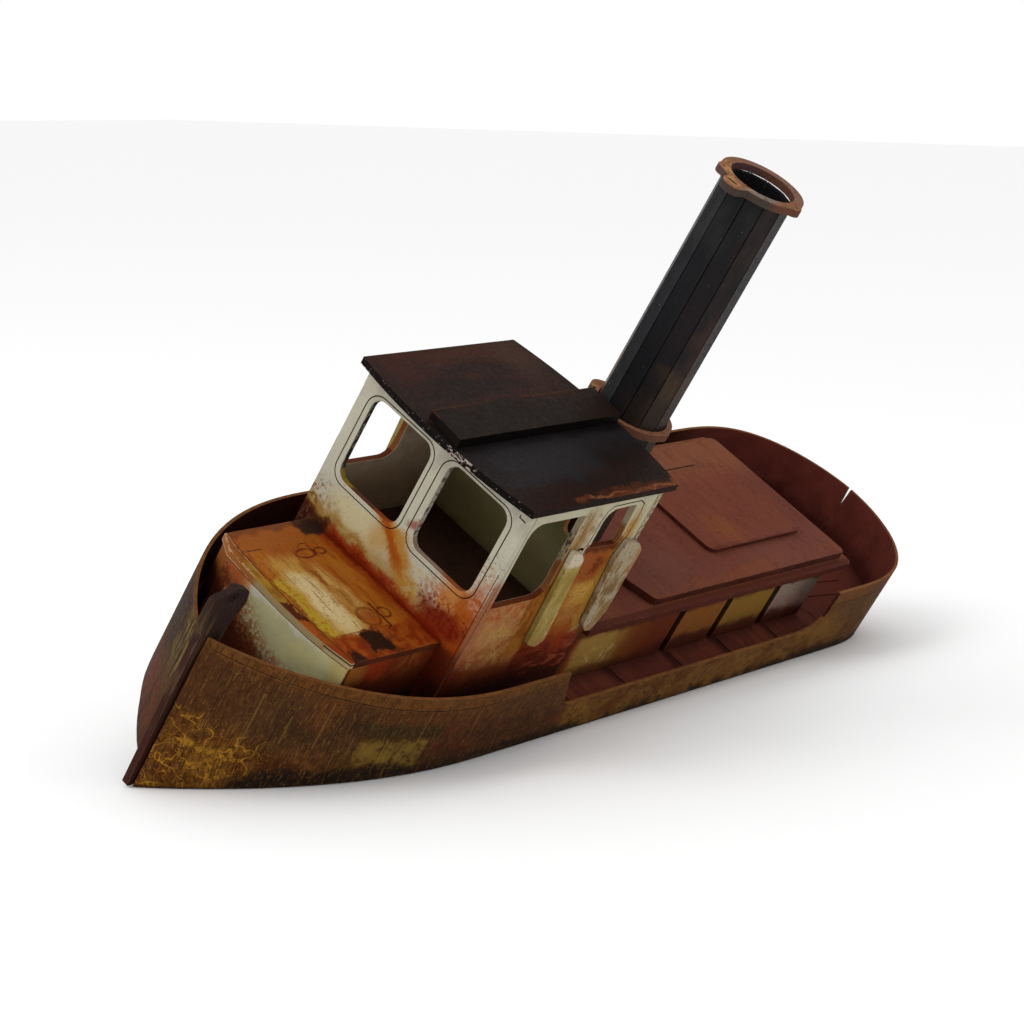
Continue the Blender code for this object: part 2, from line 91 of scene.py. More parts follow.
class Paint:
    """One material's node tree: colours laid over each other through soft, ragged masks."""

    def __init__(self, name, colour, roughness=0.8, specular=0.05, ragged=1.0):
        self.material = bpy.data.materials.new(name)
        self.material.use_nodes = True
        self.nodes = self.material.node_tree.nodes
        self.links = self.material.node_tree.links
        self.bsdf = self.nodes["Principled BSDF"]
        self.bsdf.inputs["Specular IOR Level"].default_value = specular
        self.roughness = roughness
        ship = self.node("Mapping", {
            "Vector": self.node("TexCoord").outputs["Object"], "Rotation": (0.0, -DEADRISE, 0.0),
            "Scale": (1 / MM,) * 3, "Location": tuple(-ORIGIN / MM)})
        self.place = ship.outputs["Vector"]
        self.at = self.split(self.place)
        self.soft = self.at
        if ragged:
            moved = self.place
            for scale, detail, reach in RAGGED_NOISES:
                shift = self.vector("ADD", self.noise(scale, detail, colour=True), (-0.5, -0.5, -0.5))
                moved = self.vector("ADD", moved, self.vector("SCALE", shift, scale=reach * ragged))
            self.soft = self.split(moved)
        self.true_normal = self.node("NewGeometry").outputs["True Normal"]
        turn = self.node("VectorRotate", rotation_type="EULER_XYZ")
        turn.inputs["Rotation"].default_value = (0.0, -DEADRISE, 0.0)
        self.link(self.true_normal, turn.inputs["Vector"])
        self.normal = self.split(turn.outputs["Vector"])
        self.colour = (*rgb(*colour), 1.0)
        self.bump = None

    # nodes
    def link(self, a, b):
        self.links.new(a, b)

    def feed(self, socket, value):
        if isinstance(value, bpy.types.NodeSocket):
            self.link(value, socket)
        else:
            socket.default_value = value

    def node(self, kind, inputs=(), **settings):
        """A new shader node with the given settings, its inputs linked or set by name or number."""
        node = self.nodes.new("ShaderNode" + kind)
        for name, value in settings.items():
            setattr(node, name, value)
        for key, value in dict(inputs).items():
            if value is not None:
                self.feed(node.inputs[key], value)
        return node

    def split(self, vector):
        return dict(zip("xyz", self.node("SeparateXYZ", {0: vector}).outputs))

    def math(self, operation, a, b=None, c=None):
        return self.node("Math", {0: a, 1: b, 2: c}, operation=operation).outputs[0]

    def vector(self, operation, a, b=None, scale=None):
        node = self.node("VectorMath", {0: a, 1: b, "Scale": scale}, operation=operation)
        return node.outputs["Value" if operation == "DOT_PRODUCT" else "Vector"]

    def step(self, value, low, high):
        """0 at low, 1 at high, and smooth between; low may be the greater."""
        span = {"Value": value, "From Min": low, "From Max": high}
        return self.node("MapRange", span, interpolation_type="SMOOTHSTEP").outputs["Result"]

    def spread(self, noise, low, high):
        """A noise's usual range, stretched from low to high."""
        span = {"Value": noise, "From Min": 0.3, "From Max": 0.7, "To Min": low, "To Max": high}
        return self.node("MapRange", span).outputs["Result"]

    def noise(self, scale, detail=3.0, rough=0.55, stretch=(1, 1, 1), shift=(0, 0, 0), colour=False):
        """Noise of so many features a millimetre, drawn out where stretch is under 1."""
        place = self.place
        if stretch != (1, 1, 1) or shift != (0, 0, 0):
            mapping = {"Vector": place, "Scale": stretch, "Location": shift}
            place = self.node("Mapping", mapping).outputs["Vector"]
        node = self.node("TexNoise", {"Vector": place, "Scale": scale, "Detail": detail, "Roughness": rough})
        return node.outputs["Color" if colour else "Fac"]

    # masks
    def patch(self, x=None, y=None, z=None, edge=1.0, ragged=True):
        """Box of the given spans with soft edges; None leaves a side open."""
        bounds = []
        for axis, span in (("x", x), ("y", y), ("z", z)):
            value = (self.soft if ragged else self.at)[axis]
            for bound, sign in zip(span or (), (1, -1)):
                if bound is not None:
                    bounds.append(self.step(value, bound - sign * edge, bound + sign * edge))
        return self.both(*bounds)

    def blob(self, x=None, y=None, z=None, edge=0.35, ragged=True):
        """Round spot, 1 inside and 0 outside, with a centre and a radius along two of the axes."""
        squares = []
        for axis, span in (("x", x), ("y", y), ("z", z)):
            if span:
                away = self.math("SUBTRACT", (self.soft if ragged else self.at)[axis], span[0])
                off = self.math("DIVIDE", away, span[1])
                squares.append(self.math("MULTIPLY", off, off))
        return self.step(self.math("SQRT", self.math("ADD", *squares)), 1 + edge, 1 - edge)

    def specks(self, size, above=0.5, sharp=0.1, stretch=(1, 1, 1), shift=(0, 0, 0)):
        """Specks of about this size in millimetres, where a noise rises above a level."""
        return self.step(self.noise(1 / size, 2.0, 0.6, stretch, shift), above - sharp, above + sharp)

    def both(self, *masks):
        result = masks[0]
        for mask in masks[1:]:
            result = self.math("MULTIPLY", result, mask)
        return result

    def either(self, a, b):
        return self.math("MAXIMUM", a, b)

    def without(self, a, b):
        return self.math("MULTIPLY", a, self.math("SUBTRACT", 1.0, b))

    def facing(self, axis):
        """Faces that look along +axis, or along -axis with a minus sign."""
        sign = -1 if axis[0] == "-" else 1
        return self.step(self.normal[axis[-1]], sign * 0.4, sign * 0.6)

    def facing_both(self, axis):
        return self.either(self.facing(axis), self.facing("-" + axis))

    def sawn(self):
        """A flat board's sawn sides and its underside: what doesn't look up."""
        return self.step(self.normal["z"], 0.6, 0.3)

    def inboard(self):
        """The inner face of a board that stands fore and aft."""
        return self.step(self.math("MULTIPLY", self.normal["x"], self.at["x"]), -1.0, -10.0)

    def scratches(self, scale, thin, shift=(0, 0, 0)):
        """Thin curling lines, where a noise passes through its middle value."""
        off = self.math("ABSOLUTE", self.math("SUBTRACT", self.noise(scale, 1.5, 0.5, shift=shift), 0.5))
        return self.step(off, thin, thin * 0.3)

    def edges(self, width):
        """Outer edges and corners, from the difference between a rounded and the true normal."""
        rounded = self.node("Bevel", {"Radius": width * MM}, samples=4).outputs["Normal"]
        return self.step(self.vector("DOT_PRODUCT", rounded, self.true_normal), 0.98, 0.88)

    def corners(self, reach, low, high):
        """Recesses, found by ambient occlusion: where shade falls, the mask for painted shade."""
        node = self.node("AmbientOcclusion", {"Distance": reach * MM}, samples=4)
        return self.step(node.outputs["AO"], high, low)

    # layers
    def over(self, colour, amount, *masks, x=None, y=None, z=None, edge=1.0, ragged=True, specks=None):
        """Lays a colour where the masks, the patch of the spans x, y and z, and the specks all let it."""
        masks = list(masks)
        if x or y or z:
            masks.append(self.patch(x, y, z, edge, ragged))
        if specks:
            masks.append(self.specks(*(specks if isinstance(specks, tuple) else (specks,))))
        factor = self.math("MULTIPLY", self.both(*masks), amount)
        mix = {0: factor, MIX_UNDER: self.colour, MIX_OVER: (*rgb(*colour), 1.0)}
        self.colour = self.node("Mix", mix, data_type="RGBA").outputs[MIX_RESULT]
        return self

    def vary(self, scale, low, high, stretch=(1, 1, 1)):
        """Multiplies the colour by low to high with a noise."""
        amount = self.spread(self.noise(scale, 4.0, 0.6, stretch), low, high)
        self.colour = self.vector("MULTIPLY", self.colour_socket(), amount)
        return self

    def colour_socket(self):
        if isinstance(self.colour, tuple):
            node = self.node("RGB")
            node.outputs[0].default_value = self.colour
            self.colour = node.outputs[0]
        return self.colour

    def raise_by(self, value, amount):
        """Adds to the bump height, in millimetres."""
        part = self.math("MULTIPLY", value, amount)
        self.bump = part if self.bump is None else self.math("ADD", self.bump, part)
        return self

    def finish(self, grain=0.05, tone=None):
        """Brush texture and fine grain in the bump, uneven roughness, and the outputs."""
        if tone:
            self.colour = self.vector("MULTIPLY", self.colour_socket(), tone)
        self.raise_by(self.noise(2.2, 5, 0.65), grain)
        self.raise_by(self.noise(0.5, 3, 0.5), grain * 1.6)
        height = self.node("Bump", {"Strength": 0.8, "Distance": MM, "Height": self.bump})
        dull, bright = min(self.roughness + GLOSS_SPREAD, 1.0), max(self.roughness - GLOSS_SPREAD, 0.05)
        self.link(height.outputs["Normal"], self.bsdf.inputs["Normal"])
        self.link(self.spread(self.noise(0.9, 4), bright, dull), self.bsdf.inputs["Roughness"])
        self.feed(self.bsdf.inputs["Base Color"], self.colour)
        return self.material


def front_wall():
    p = Paint("front_wall_paint", CREAM, 0.72)
    p.vary(0.12, 0.92, 1.05).vary(1.6, 0.93, 1.06)
    p.over((150, 148, 140), 0.45, z=(60, None), edge=3, specks=(3, 0.5, 0.12, (1, 1, 0.4)))
    p.over((170, 162, 146), 0.6, x=(-40, -3), z=(None, 36), edge=4)
    p.over((192, 182, 146), 0.9, p.blob(x=(-13, 11), z=(32, 4.5), edge=0.5))
    p.over((160, 128, 58), 0.8, z=(None, 29.6), edge=2)
    p.over(MUSTARD, 0.7, x=(None, -6), z=(None, 29), edge=1.6, specks=(4, 0.48))
    # the flow from between the windows down to port
    slide = p.math("ADD", p.soft["x"], p.math("MULTIPLY", p.soft["z"], 1.05))
    flow = p.both(p.step(slide, 29.5, 34.5), p.step(slide, 45, 40), p.patch(z=(22, 41), edge=1.5),
                  p.patch(x=(-12, 12), edge=2))
    p.over((166, 116, 34), 0.93, flow)
    hot = p.both(p.step(slide, 31.5, 34), p.step(slide, 39.5, 35.5), p.patch(z=(30, 42), edge=2),
                 p.patch(x=(-9, 6), edge=1.2))
    p.over((172, 124, 44), 0.6, x=(-9, -1), z=(30, 38), edge=3)
    p.over((150, 72, 12), 0.95, hot)
    p.over((184, 164, 120), 0.6, x=(6, 16), z=(26, 36), edge=3, specks=(2, 0.5, 0.12))
    p.over((138, 50, 8), 0.95, z=(None, 26.6), edge=1.1)
    p.over((112, 26, 4), 0.9, z=(None, 24.9), edge=0.9)
    # port lower corner
    p.over((158, 78, 48), 0.7, x=(13, 21), z=(27, 37), edge=2.5, specks=(1.3, 0.5, 0.12))
    p.over((176, 108, 40), 0.9, p.blob(x=(24, 6.5), z=(34.5, 6.5)))
    p.over((146, 66, 12), 0.93, p.blob(x=(28.5, 4), z=(33, 11), edge=0.4))
    p.over((112, 26, 5), 0.95, p.blob(x=(22, 8), z=(28.2, 3.4), edge=0.45))
    p.over((98, 18, 4), 0.85, p.blob(x=(22, 10), z=(29.5, 5), edge=0.5), specks=(1.6, 0.54, 0.06))
    p.over((156, 82, 22), 0.8, p.blob(x=(26, 3.2), z=(36, 4.5), edge=0.5))
    p.over((178, 134, 112), 0.7, x=(26.6, 32), z=(36, 50), edge=2, specks=1.4)
    p.over((132, 62, 40), 0.6, x=(24, 32), z=(34, 54), edge=3, specks=(0.9, 0.58, 0.05))
    p.over((132, 52, 44), 0.8, p.blob(x=(1.6, 1.5), z=(43.6, 1.4), edge=0.6))
    p.over((116, 66, 28), 0.5, p.specks(0.8, 0.62, 0.08), z=(24, 42), edge=4, specks=(6, 0.5, 0.12))
    p.over((84, 30, 14), 0.85, x=(25.2, None), z=(None, 23), edge=1.6)
    p.over((40, 16, 10), 0.9, x=(25.2, None), z=(None, 13), edge=4)
    # starboard lower corner: rust specks, and darker behind the trunk
    p.over((146, 106, 44), 0.7, x=(None, -21), z=(None, 32), edge=2.5, specks=3)
    p.over((48, 22, 12), 0.9, x=(None, -21), z=(None, 26.5), edge=1.2)
    p.over((96, 60, 34), 0.7, x=(-32, -26), z=(22, 35), edge=1.5, specks=(1.5, 0.54, 0.04))
    # the board's own side edges, and the window jambs and sills
    beside = p.either(p.patch(x=(None, -30), ragged=False, edge=0.2),
                      p.patch(x=(30, None), ragged=False, edge=0.2))
    looks_out = p.both(beside, p.facing_both("x"))
    p.over((140, 92, 64), 0.85, looks_out, z=(None, 48), edge=3)
    p.over((74, 28, 16), 0.9, looks_out, z=(None, 24), edge=4)
    jamb = p.both(p.patch(x=(-29, 29), ragged=False, edge=0.2), p.facing_both("x"))
    p.over((150, 142, 130), 0.7, jamb, y=(0.2, 3), edge=0.1, ragged=False)
    p.over((34, 32, 32), 0.95, x=(-27, -24.9), y=(0.1, None), z=(38.6, 64), edge=0.1, ragged=False,
           specks=(0.9, 0.42, 0.12, (1, 1, 0.5)))
    p.over((70, 62, 58), 0.9, jamb, x=(2, 4), edge=0.3, ragged=False, specks=(1.6, 0.55, 0.06))
    sill = p.both(p.facing("z"), p.patch(z=(36, 41), ragged=False, edge=0.1))
    p.over((140, 112, 98), 0.8, sill)
    p.over((140, 70, 24), 0.85, sill, x=(15, 27), edge=3)
    p.over((84, 34, 16), 0.9, sill, x=(-24, -9), edge=1)
    p.over((146, 120, 36), 0.9, sill, x=(-27, -20.5), edge=1)
    p.over((140, 64, 18), 0.95, sill, x=(-10.5, -1), edge=1)
    # back of the board
    p.over((140, 128, 100), 0.9, p.facing("y"))
    p.over((112, 98, 80), 0.5, specks=(0.8, 0.73, 0.03))
    p.over((150, 140, 122), 0.5, p.edges(0.35), z=(44, None), edge=8)
    return p.finish(0.06, tone=(0.9, 0.87, 0.8))


def side_wall():
    p = Paint("side_wall_paint", CREAM, 0.72)
    p.vary(0.12, 0.92, 1.05).vary(1.6, 0.92, 1.07)
    p.over((146, 112, 62), 0.9, p.blob(y=(28.5, 3.5), z=(54, 11), edge=0.7))
    p.over((160, 122, 66), 0.8, p.blob(y=(51, 3), z=(56, 8), edge=0.7))
    p.over((140, 88, 30), 0.9, y=(24.5, 31), z=(None, 52), edge=2)
    p.over((120, 84, 46), 0.6, y=(24, 34), z=(42, 66), edge=2, specks=(1.4, 0.54, 0.06, (1, 1, 0.4)))
    # under the forward window
    p.over((156, 104, 60), 0.95, y=(1.5, 40), z=(None, 40.5), edge=1.2)
    p.over((166, 130, 78), 0.9, y=(6, 24), z=(18, 38), edge=3, specks=(3, 0.5, 0.12, (1, 1, 0.7)))
    p.over((144, 88, 66), 0.85, y=(None, 5), z=(None, 47), edge=2.5)
    p.over((150, 66, 34), 0.75, y=(1, 26), z=(33.5, 38.6), edge=1.2, specks=2.2)
    p.over((146, 92, 24), 0.85, y=(22, 31), z=(19, 42), edge=2)
    p.over((112, 60, 14), 0.8, y=(20, 30), z=(24, 44), edge=2, specks=(2, 0.5, 0.1, (1, 1, 0.5)))
    p.over((132, 62, 32), 0.75, y=(2, 24), z=(14, 24), edge=3, specks=(2, 0.48, 0.12))
    p.over((112, 60, 30), 0.5, y=(2, 26), z=(16, 40), edge=2, specks=(0.8, 0.58, 0.06))
    p.over((196, 150, 122), 0.4, y=(None, 12), z=(16, 44), edge=4, specks=(0.8, 0.6, 0.05))
    # the door
    p.over((148, 92, 30), 0.95, y=(34.6, 51.2), z=(None, 53.5), edge=0.8)
    p.over((160, 118, 44), 0.9, y=(44, 50.5), z=(32, 44), edge=2.5)
    p.over((176, 140, 70), 0.8, p.blob(y=(44, 5), z=(36.5, 3.6), edge=0.6))
    p.over((138, 70, 26), 0.9, y=(36, 47.5), z=(41, 51), edge=1.8)
    p.over((92, 32, 8), 0.9, p.blob(y=(45, 2.2), z=(46, 2.6), edge=0.5), specks=(1.6, 0.45))
    p.over((84, 34, 14), 0.95, y=(34.5, 49.5), z=(50.6, 54.5), edge=0.9)
    p.over((136, 68, 20), 0.9, y=(35, 50.8), z=(None, 26.5), edge=2)
    p.over((166, 124, 52), 0.75, y=(49.2, 52.2), z=(24, 60), edge=0.8)
    p.over((150, 112, 54), 0.8, y=(50.5, 60), z=(19, 53), edge=0.8)
    p.over((104, 52, 16), 0.5, y=(34, 53), z=(22, 60), edge=2, specks=(1.0, 0.58, 0.06))
    # low rust, and darker and darker down to the deck
    p.over((122, 44, 16), 0.95, y=(29, None), z=(None, 22.5), edge=1.6)
    p.over((96, 36, 22), 0.9, y=(None, 7), z=(None, 19), edge=2.5)
    p.over((98, 36, 16), 0.9, z=(None, 17), edge=2.4)
    p.over((82, 20, 10), 0.8, y=(30, None), z=(8, 20), edge=2, specks=(3, 0.48, 0.1, (1, 0.6, 1)))
    p.over((68, 22, 12), 0.9, z=(None, 13), edge=2.8)
    p.over((44, 14, 8), 0.93, z=(None, 9.5), edge=2.2)
    p.over((142, 66, 44), 0.7, y=(36, None), z=(10, 18), edge=2, specks=(1.6, 0.57, 0.04, (1, 0.3, 1)))
    # window jambs
    jamb = p.facing_both("y")
    inside = p.either(p.patch(y=(3.4, 27), z=(38.6, 65.8), edge=0.1, ragged=False),
                      p.patch(y=(34.8, 49.4), z=(52.6, 65.8), edge=0.1, ragged=False))
    p.over((150, 140, 122), 0.8, jamb, inside)
    p.over((70, 58, 50), 0.95, jamb, inside, y=(20, 28), z=(46, 60), ragged=False,
           specks=(1.0, 0.45, 0.1, (1, 1, 0.6)))
    p.over((110, 60, 22), 0.9, jamb, inside, y=(20, 28), z=(None, 50))
    p.over((124, 66, 24), 0.85, inside, jamb, y=(40, 50), z=(None, 59))
    p.over((88, 36, 18), 0.9, p.facing("z"), y=(3, 27), z=(38, 41), edge=0.2, ragged=False)
    # inner face, grey-brown
    inner = p.inboard()
    p.over((172, 158, 148), 0.97, inner)
    p.over((118, 94, 72), 0.8, inner, z=(None, 34), edge=8)
    p.over((150, 122, 98), 0.5, inner, specks=(6, 0.5, 0.12))
    p.over((104, 84, 62), 0.6, specks=(0.7, 0.68, 0.03))
    p.over((164, 150, 124), 0.35, p.edges(0.35), z=(44, None), edge=6)
    return p.finish(0.06, tone=(0.9, 0.85, 0.7))


def aft_wall():
    p = Paint("aft_wall_paint", (160, 154, 114), 0.8)
    p.vary(0.15, 0.85, 1.1)
    p.over((92, 90, 46), 0.85, p.blob(x=(12, 13), z=(46, 12), edge=0.8))
    p.over((176, 166, 92), 0.8, p.blob(x=(23, 5), z=(60, 6), edge=0.8))
    p.over((112, 96, 60), 0.8, z=(None, 34), edge=8)
    p.over((50, 34, 24), 0.9, z=(None, 19), edge=4)
    # outer face, rusted low down
    p.over((172, 166, 150), 1.0, p.facing("y"))
    p.over((146, 98, 50), 0.9, p.facing("y"), z=(None, 36), edge=4)
    p.over((132, 66, 26), 0.8, p.facing("y"), z=(22, 46), edge=4, specks=(3, 0.5, 0.1, (1, 1, 0.5)))
    p.over((88, 34, 18), 0.8, p.facing("y"), z=(None, 27), edge=2)
    side = p.facing_both("x")
    p.over((150, 140, 124), 0.7, side)
    p.over((96, 54, 28), 0.6, side, specks=(1.4, 0.5, 0.04))
    p.over((134, 84, 38), 0.9, side, z=(None, 50), edge=3)
    p.over((72, 26, 14), 0.93, side, z=(None, 22), edge=3)
    p.over((150, 130, 100), 0.4, p.edges(0.35), z=(46, None), edge=4)
    return p.finish()


def rail_paint(name, aft):
    p = Paint(name, (172, 162, 142) if aft else (164, 148, 92), 0.7)
    p.vary(0.3, 0.86, 1.06).vary(1.8, 0.92, 1.06)
    if aft:
        p.over((134, 106, 62), 0.85, z=(22, 48), edge=4, specks=(2.4, 0.5, 0.08, (1, 1, 0.6)))
        p.over((170, 118, 78), 0.8, y=(58.5, None), z=(42, None), edge=0.8)
        p.over((112, 82, 38), 0.8, p.blob(y=(55, 2), z=(38, 3.5), edge=0.5))
        p.over((136, 108, 58), 0.7, p.blob(y=(58, 2), z=(29, 3), edge=0.5))
        p.over((150, 116, 84), 0.7, z=(None, 25), edge=2)
    else:
        p.over((140, 120, 56), 0.85, z=(24, 47), edge=2, specks=(3, 0.5, 0.12, (1, 1, 0.3)))
        p.over((196, 190, 176), 0.95, z=(49, None), edge=0.8)
        p.over((172, 136, 92), 0.8, y=(34.6, None), z=(None, 47), edge=0.4)
        p.over((206, 190, 162), 0.8, y=(34.9, None), z=(None, 45), edge=0.3,
               specks=(1.6, 0.5, 0.06, (1, 1, 0.5)))
        p.over((150, 112, 72), 0.6, z=(None, 25), edge=1.5)
    p.over((190, 170, 138), 0.6, p.edges(0.4), specks=(2.5, 0.48, 0.08))
    p.over((88, 60, 34), 0.7, specks=(0.8, 0.64, 0.03))
    return p.finish(0.07, tone=(0.78, 0.71, 0.62) if aft else (0.86, 0.8, 0.68))


def trunk_top():
    p = Paint("trunk_top_paint", (150, 84, 24), 0.6)
    grain = (0.25, 1, 1)
    p.vary(0.15, 0.9, 1.08).vary(1.2, 0.88, 1.1, stretch=grain)
    p.over((162, 106, 36), 0.8, y=(-13, -3), edge=3, specks=(4, 0.5, 0.12, grain))
    p.over((144, 84, 30), 0.8, x=(None, -17), edge=3)
    # sunned patch: yellow at its forward edge, nearly white in the middle
    p.over((156, 98, 24), 0.85, x=(-18, -3), y=(-34, -27.5), edge=2)
    p.over((168, 146, 48), 0.9, x=(-7, 15.4), y=(-34.5, -28.5), edge=1.4)
    p.over((176, 142, 72), 0.85, x=(-14, 16), y=(-29.5, -18.5), edge=2.2)
    p.over((188, 172, 126), 0.95, x=(-8, 16), y=(-29, -20), edge=1.6)
    p.over((202, 192, 158), 0.85, p.blob(x=(4, 11), y=(-24.5, 3.4), edge=0.5))
    p.over((186, 160, 98), 0.85, p.blob(x=(1, 9), y=(-15.6, 2.6), edge=0.6))
    p.over((150, 94, 34), 0.7, x=(-11, 9), y=(-20.5, -13), edge=2, specks=(2.0, 0.54, 0.08, grain))
    p.over((128, 66, 20), 0.85, p.blob(x=(-5, 5), y=(-18.2, 0.9), edge=0.5))
    p.over((120, 60, 16), 0.55, x=(-18, 15), y=(-30, -3), edge=2, specks=(1.2, 0.58, 0.06, (0.15, 1, 1)))
    p.over((120, 84, 48), 0.6, x=(-8, 15), y=(-29, -19), edge=2, specks=(0.6, 0.62, 0.04))
    # redder to port of the patch and along the wheelhouse
    p.over((140, 70, 20), 0.95, x=(15.8, None), edge=0.35)
    p.over((116, 40, 10), 0.9, x=(16.5, None), edge=1.5, specks=4)
    p.over((134, 56, 12), 0.8, y=(-4, None), edge=1.4)
    p.over((98, 22, 4), 0.9, y=(-1.8, None), edge=0.8)
    p.over((118, 50, 14), 0.5, y=(None, -30), edge=1, specks=(1.6, 0.56, 0.06))
    # scorched patches
    p.over((70, 34, 14), 0.6, x=(17, 27), y=(-26, -12), edge=2, specks=3)
    p.over((32, 20, 15), 0.96, x=(15.8, 24), y=(-24.4, -16.2), edge=0.45)
    p.over((36, 20, 18), 0.93, p.blob(x=(25, 3), y=(-31.5, 2.8)))
    p.over((34, 27, 28), 0.95, x=(None, -20.6), y=(-8.5, None), edge=0.8)
    p.over((84, 50, 30), 0.6, x=(None, -24.8), edge=0.5, specks=(3, 0.45))
    p.over((104, 56, 24), 0.7, x=(None, -24), y=(None, -9), edge=0.8)
    p.over((108, 44, 14), 0.6, y=(-34.6, -33.6), edge=0.35)
    # drawn rivets and strokes
    for x, y, rx, ry in ((-14.0, -9.0, 0.8, 1.7), (-14.0, -14.6, 1.3, 3.0),
                         (11.3, -8.8, 1.5, 1.7), (11.6, -15.0, 3.0, 3.0)):
        outer = p.blob(x=(x, rx + 0.7), y=(y, ry + 0.7), edge=0.16, ragged=False)
        inner = p.blob(x=(x, rx), y=(y, ry), edge=0.2, ragged=False)
        p.over((84, 26, 10), 0.85, p.without(outer, inner), specks=(2.2, 0.36))
    p.over((138, 74, 30), 0.7, p.blob(x=(11.6, 2.6), y=(-15.0, 2.6), edge=0.3))
    p.over((84, 26, 10), 0.7, x=(-16.6, -11.6), y=(-11.5, -10.8), edge=0.3)
    p.over((84, 24, 10), 0.85, x=(6.8, 16.6), y=(-11.2, -10.4), edge=0.25, ragged=False)
    p.over((112, 58, 24), 0.6, x=(15.6, 16.2), y=(-32, -11), edge=0.2, ragged=False)
    p.over((96, 44, 16), 0.6, x=(-18.6, -18.2), y=(-34, -28), edge=0.2, ragged=False)
    p.over((92, 40, 14), 0.6, specks=(0.8, 0.67, 0.03))
    p.over((64, 34, 26), 0.85, p.sawn())
    p.over((176, 112, 58), 0.4, p.edges(0.35), specks=(2.5, 0.46))
    return p.finish(0.06, tone=(0.9, 0.78, 0.6))


def trunk_rail():
    """The strip along the trunk's nose: its top, and the pale fascia under it."""
    p = Paint("trunk_rail_paint", (150, 118, 36), 0.65)
    p.vary(0.3, 0.85, 1.1).vary(1.6, 0.9, 1.08)
    p.over((146, 68, 20), 0.9, x=(7.5, None), edge=1.5)
    p.over((128, 46, 16), 0.8, x=(18, None), edge=2)
    p.over((140, 78, 32), 0.8, x=(None, -15), edge=3)
    p.over((104, 56, 18), 0.6, specks=(2, 0.52, 0.1, (0.4, 1, 1)))
    p.over((70, 20, 10), 0.95, x=(0.9, 8.4), y=(-38.2, -35.0), edge=0.4)
    side = p.sawn()
    p.over((146, 92, 52), 0.95, side)
    p.over((150, 140, 108), 0.9, side, x=(-9, 17), edge=1.5)
    p.over((160, 152, 122), 0.95, side, x=(17.5, None), edge=0.8)
    p.over((28, 22, 20), 0.9, side, x=(17, 26), z=(22.9, 23.4), edge=0.15, ragged=False)
    chips = p.both(p.patch(x=(-28, -11), edge=2), p.specks(1.6, 0.44, 0.06))
    p.over((214, 204, 190), 0.95, p.edges(0.8), chips)
    p.over((176, 128, 76), 0.4, p.edges(0.35), specks=2.5)
    return p.finish(0.06, tone=(0.9, 0.78, 0.62))


def trunk_front():
    p = Paint("trunk_front_paint", (152, 146, 116), 0.72)
    p.vary(0.14, 0.92, 1.05).vary(1.6, 0.93, 1.06)
    p.over((160, 157, 150), 0.85, x=(-9, 17), z=(20.6, None), edge=0.9)
    p.over((164, 156, 112), 0.7, x=(6, None), z=(12, 20), edge=3, specks=(4, 0.5, 0.12))
    p.over((150, 86, 48), 0.9, x=(None, -9), edge=1.8)
    p.over((140, 58, 26), 0.9, x=(None, -11.5), edge=1.3)
    # the foot, darker low down and to starboard
    low = p.math("ADD", p.soft["z"], p.math("MULTIPLY", p.soft["x"], 0.6))
    p.over((120, 76, 42), 0.85, p.step(low, 17, 11), specks=(1.0, 0.47, 0.08))
    p.over((112, 62, 34), 0.85, p.step(low, 11, 7))
    p.over((76, 34, 16), 0.85, p.step(low, 12, 6), specks=(1.2, 0.48, 0.06))
    p.over((62, 24, 10), 0.93, p.step(low, 7, 2))
    p.over((82, 38, 20), 0.85, z=(None, 7.5), edge=2)
    p.over((132, 60, 48), 0.7, x=(4, 13), z=(6, 11), edge=1.5, specks=(1.3, 0.48, 0.06))
    p.over((140, 120, 66), 0.6, x=(21, None), z=(None, 23), edge=2)
    p.over((176, 120, 104), 0.8, p.blob(x=(-15.5, 0.9), z=(14.3, 0.9), edge=0.3, ragged=False))
    p.over((150, 116, 80), 0.4, p.edges(0.3), specks=2.5)
    return p.finish(0.06, tone=(1.25, 1.22, 1.1))


def trunk_side():
    p = Paint("trunk_side_paint", (112, 48, 20), 0.75)
    p.vary(0.2, 0.8, 1.1).vary(1.5, 0.92, 1.07)
    p.over((140, 50, 20), 0.8, y=(-27, -18), z=(15, None), edge=2)
    p.over((146, 92, 40), 0.8, y=(-40, -27), z=(14, None), edge=2.5)
    p.over((140, 82, 40), 0.7, y=(-13, -6), z=(13, None), edge=2.5, specks=(3, 0.45))
    # painted shade: darker low down, in the narrow gap between the trunk and the bulwark
    p.over((72, 28, 12), 0.9, z=(None, 15), edge=3)
    p.over((40, 15, 10), 0.9, z=(None, 9), edge=2.5)
    return p.finish(0.06, tone=(0.8, 0.72, 0.66))


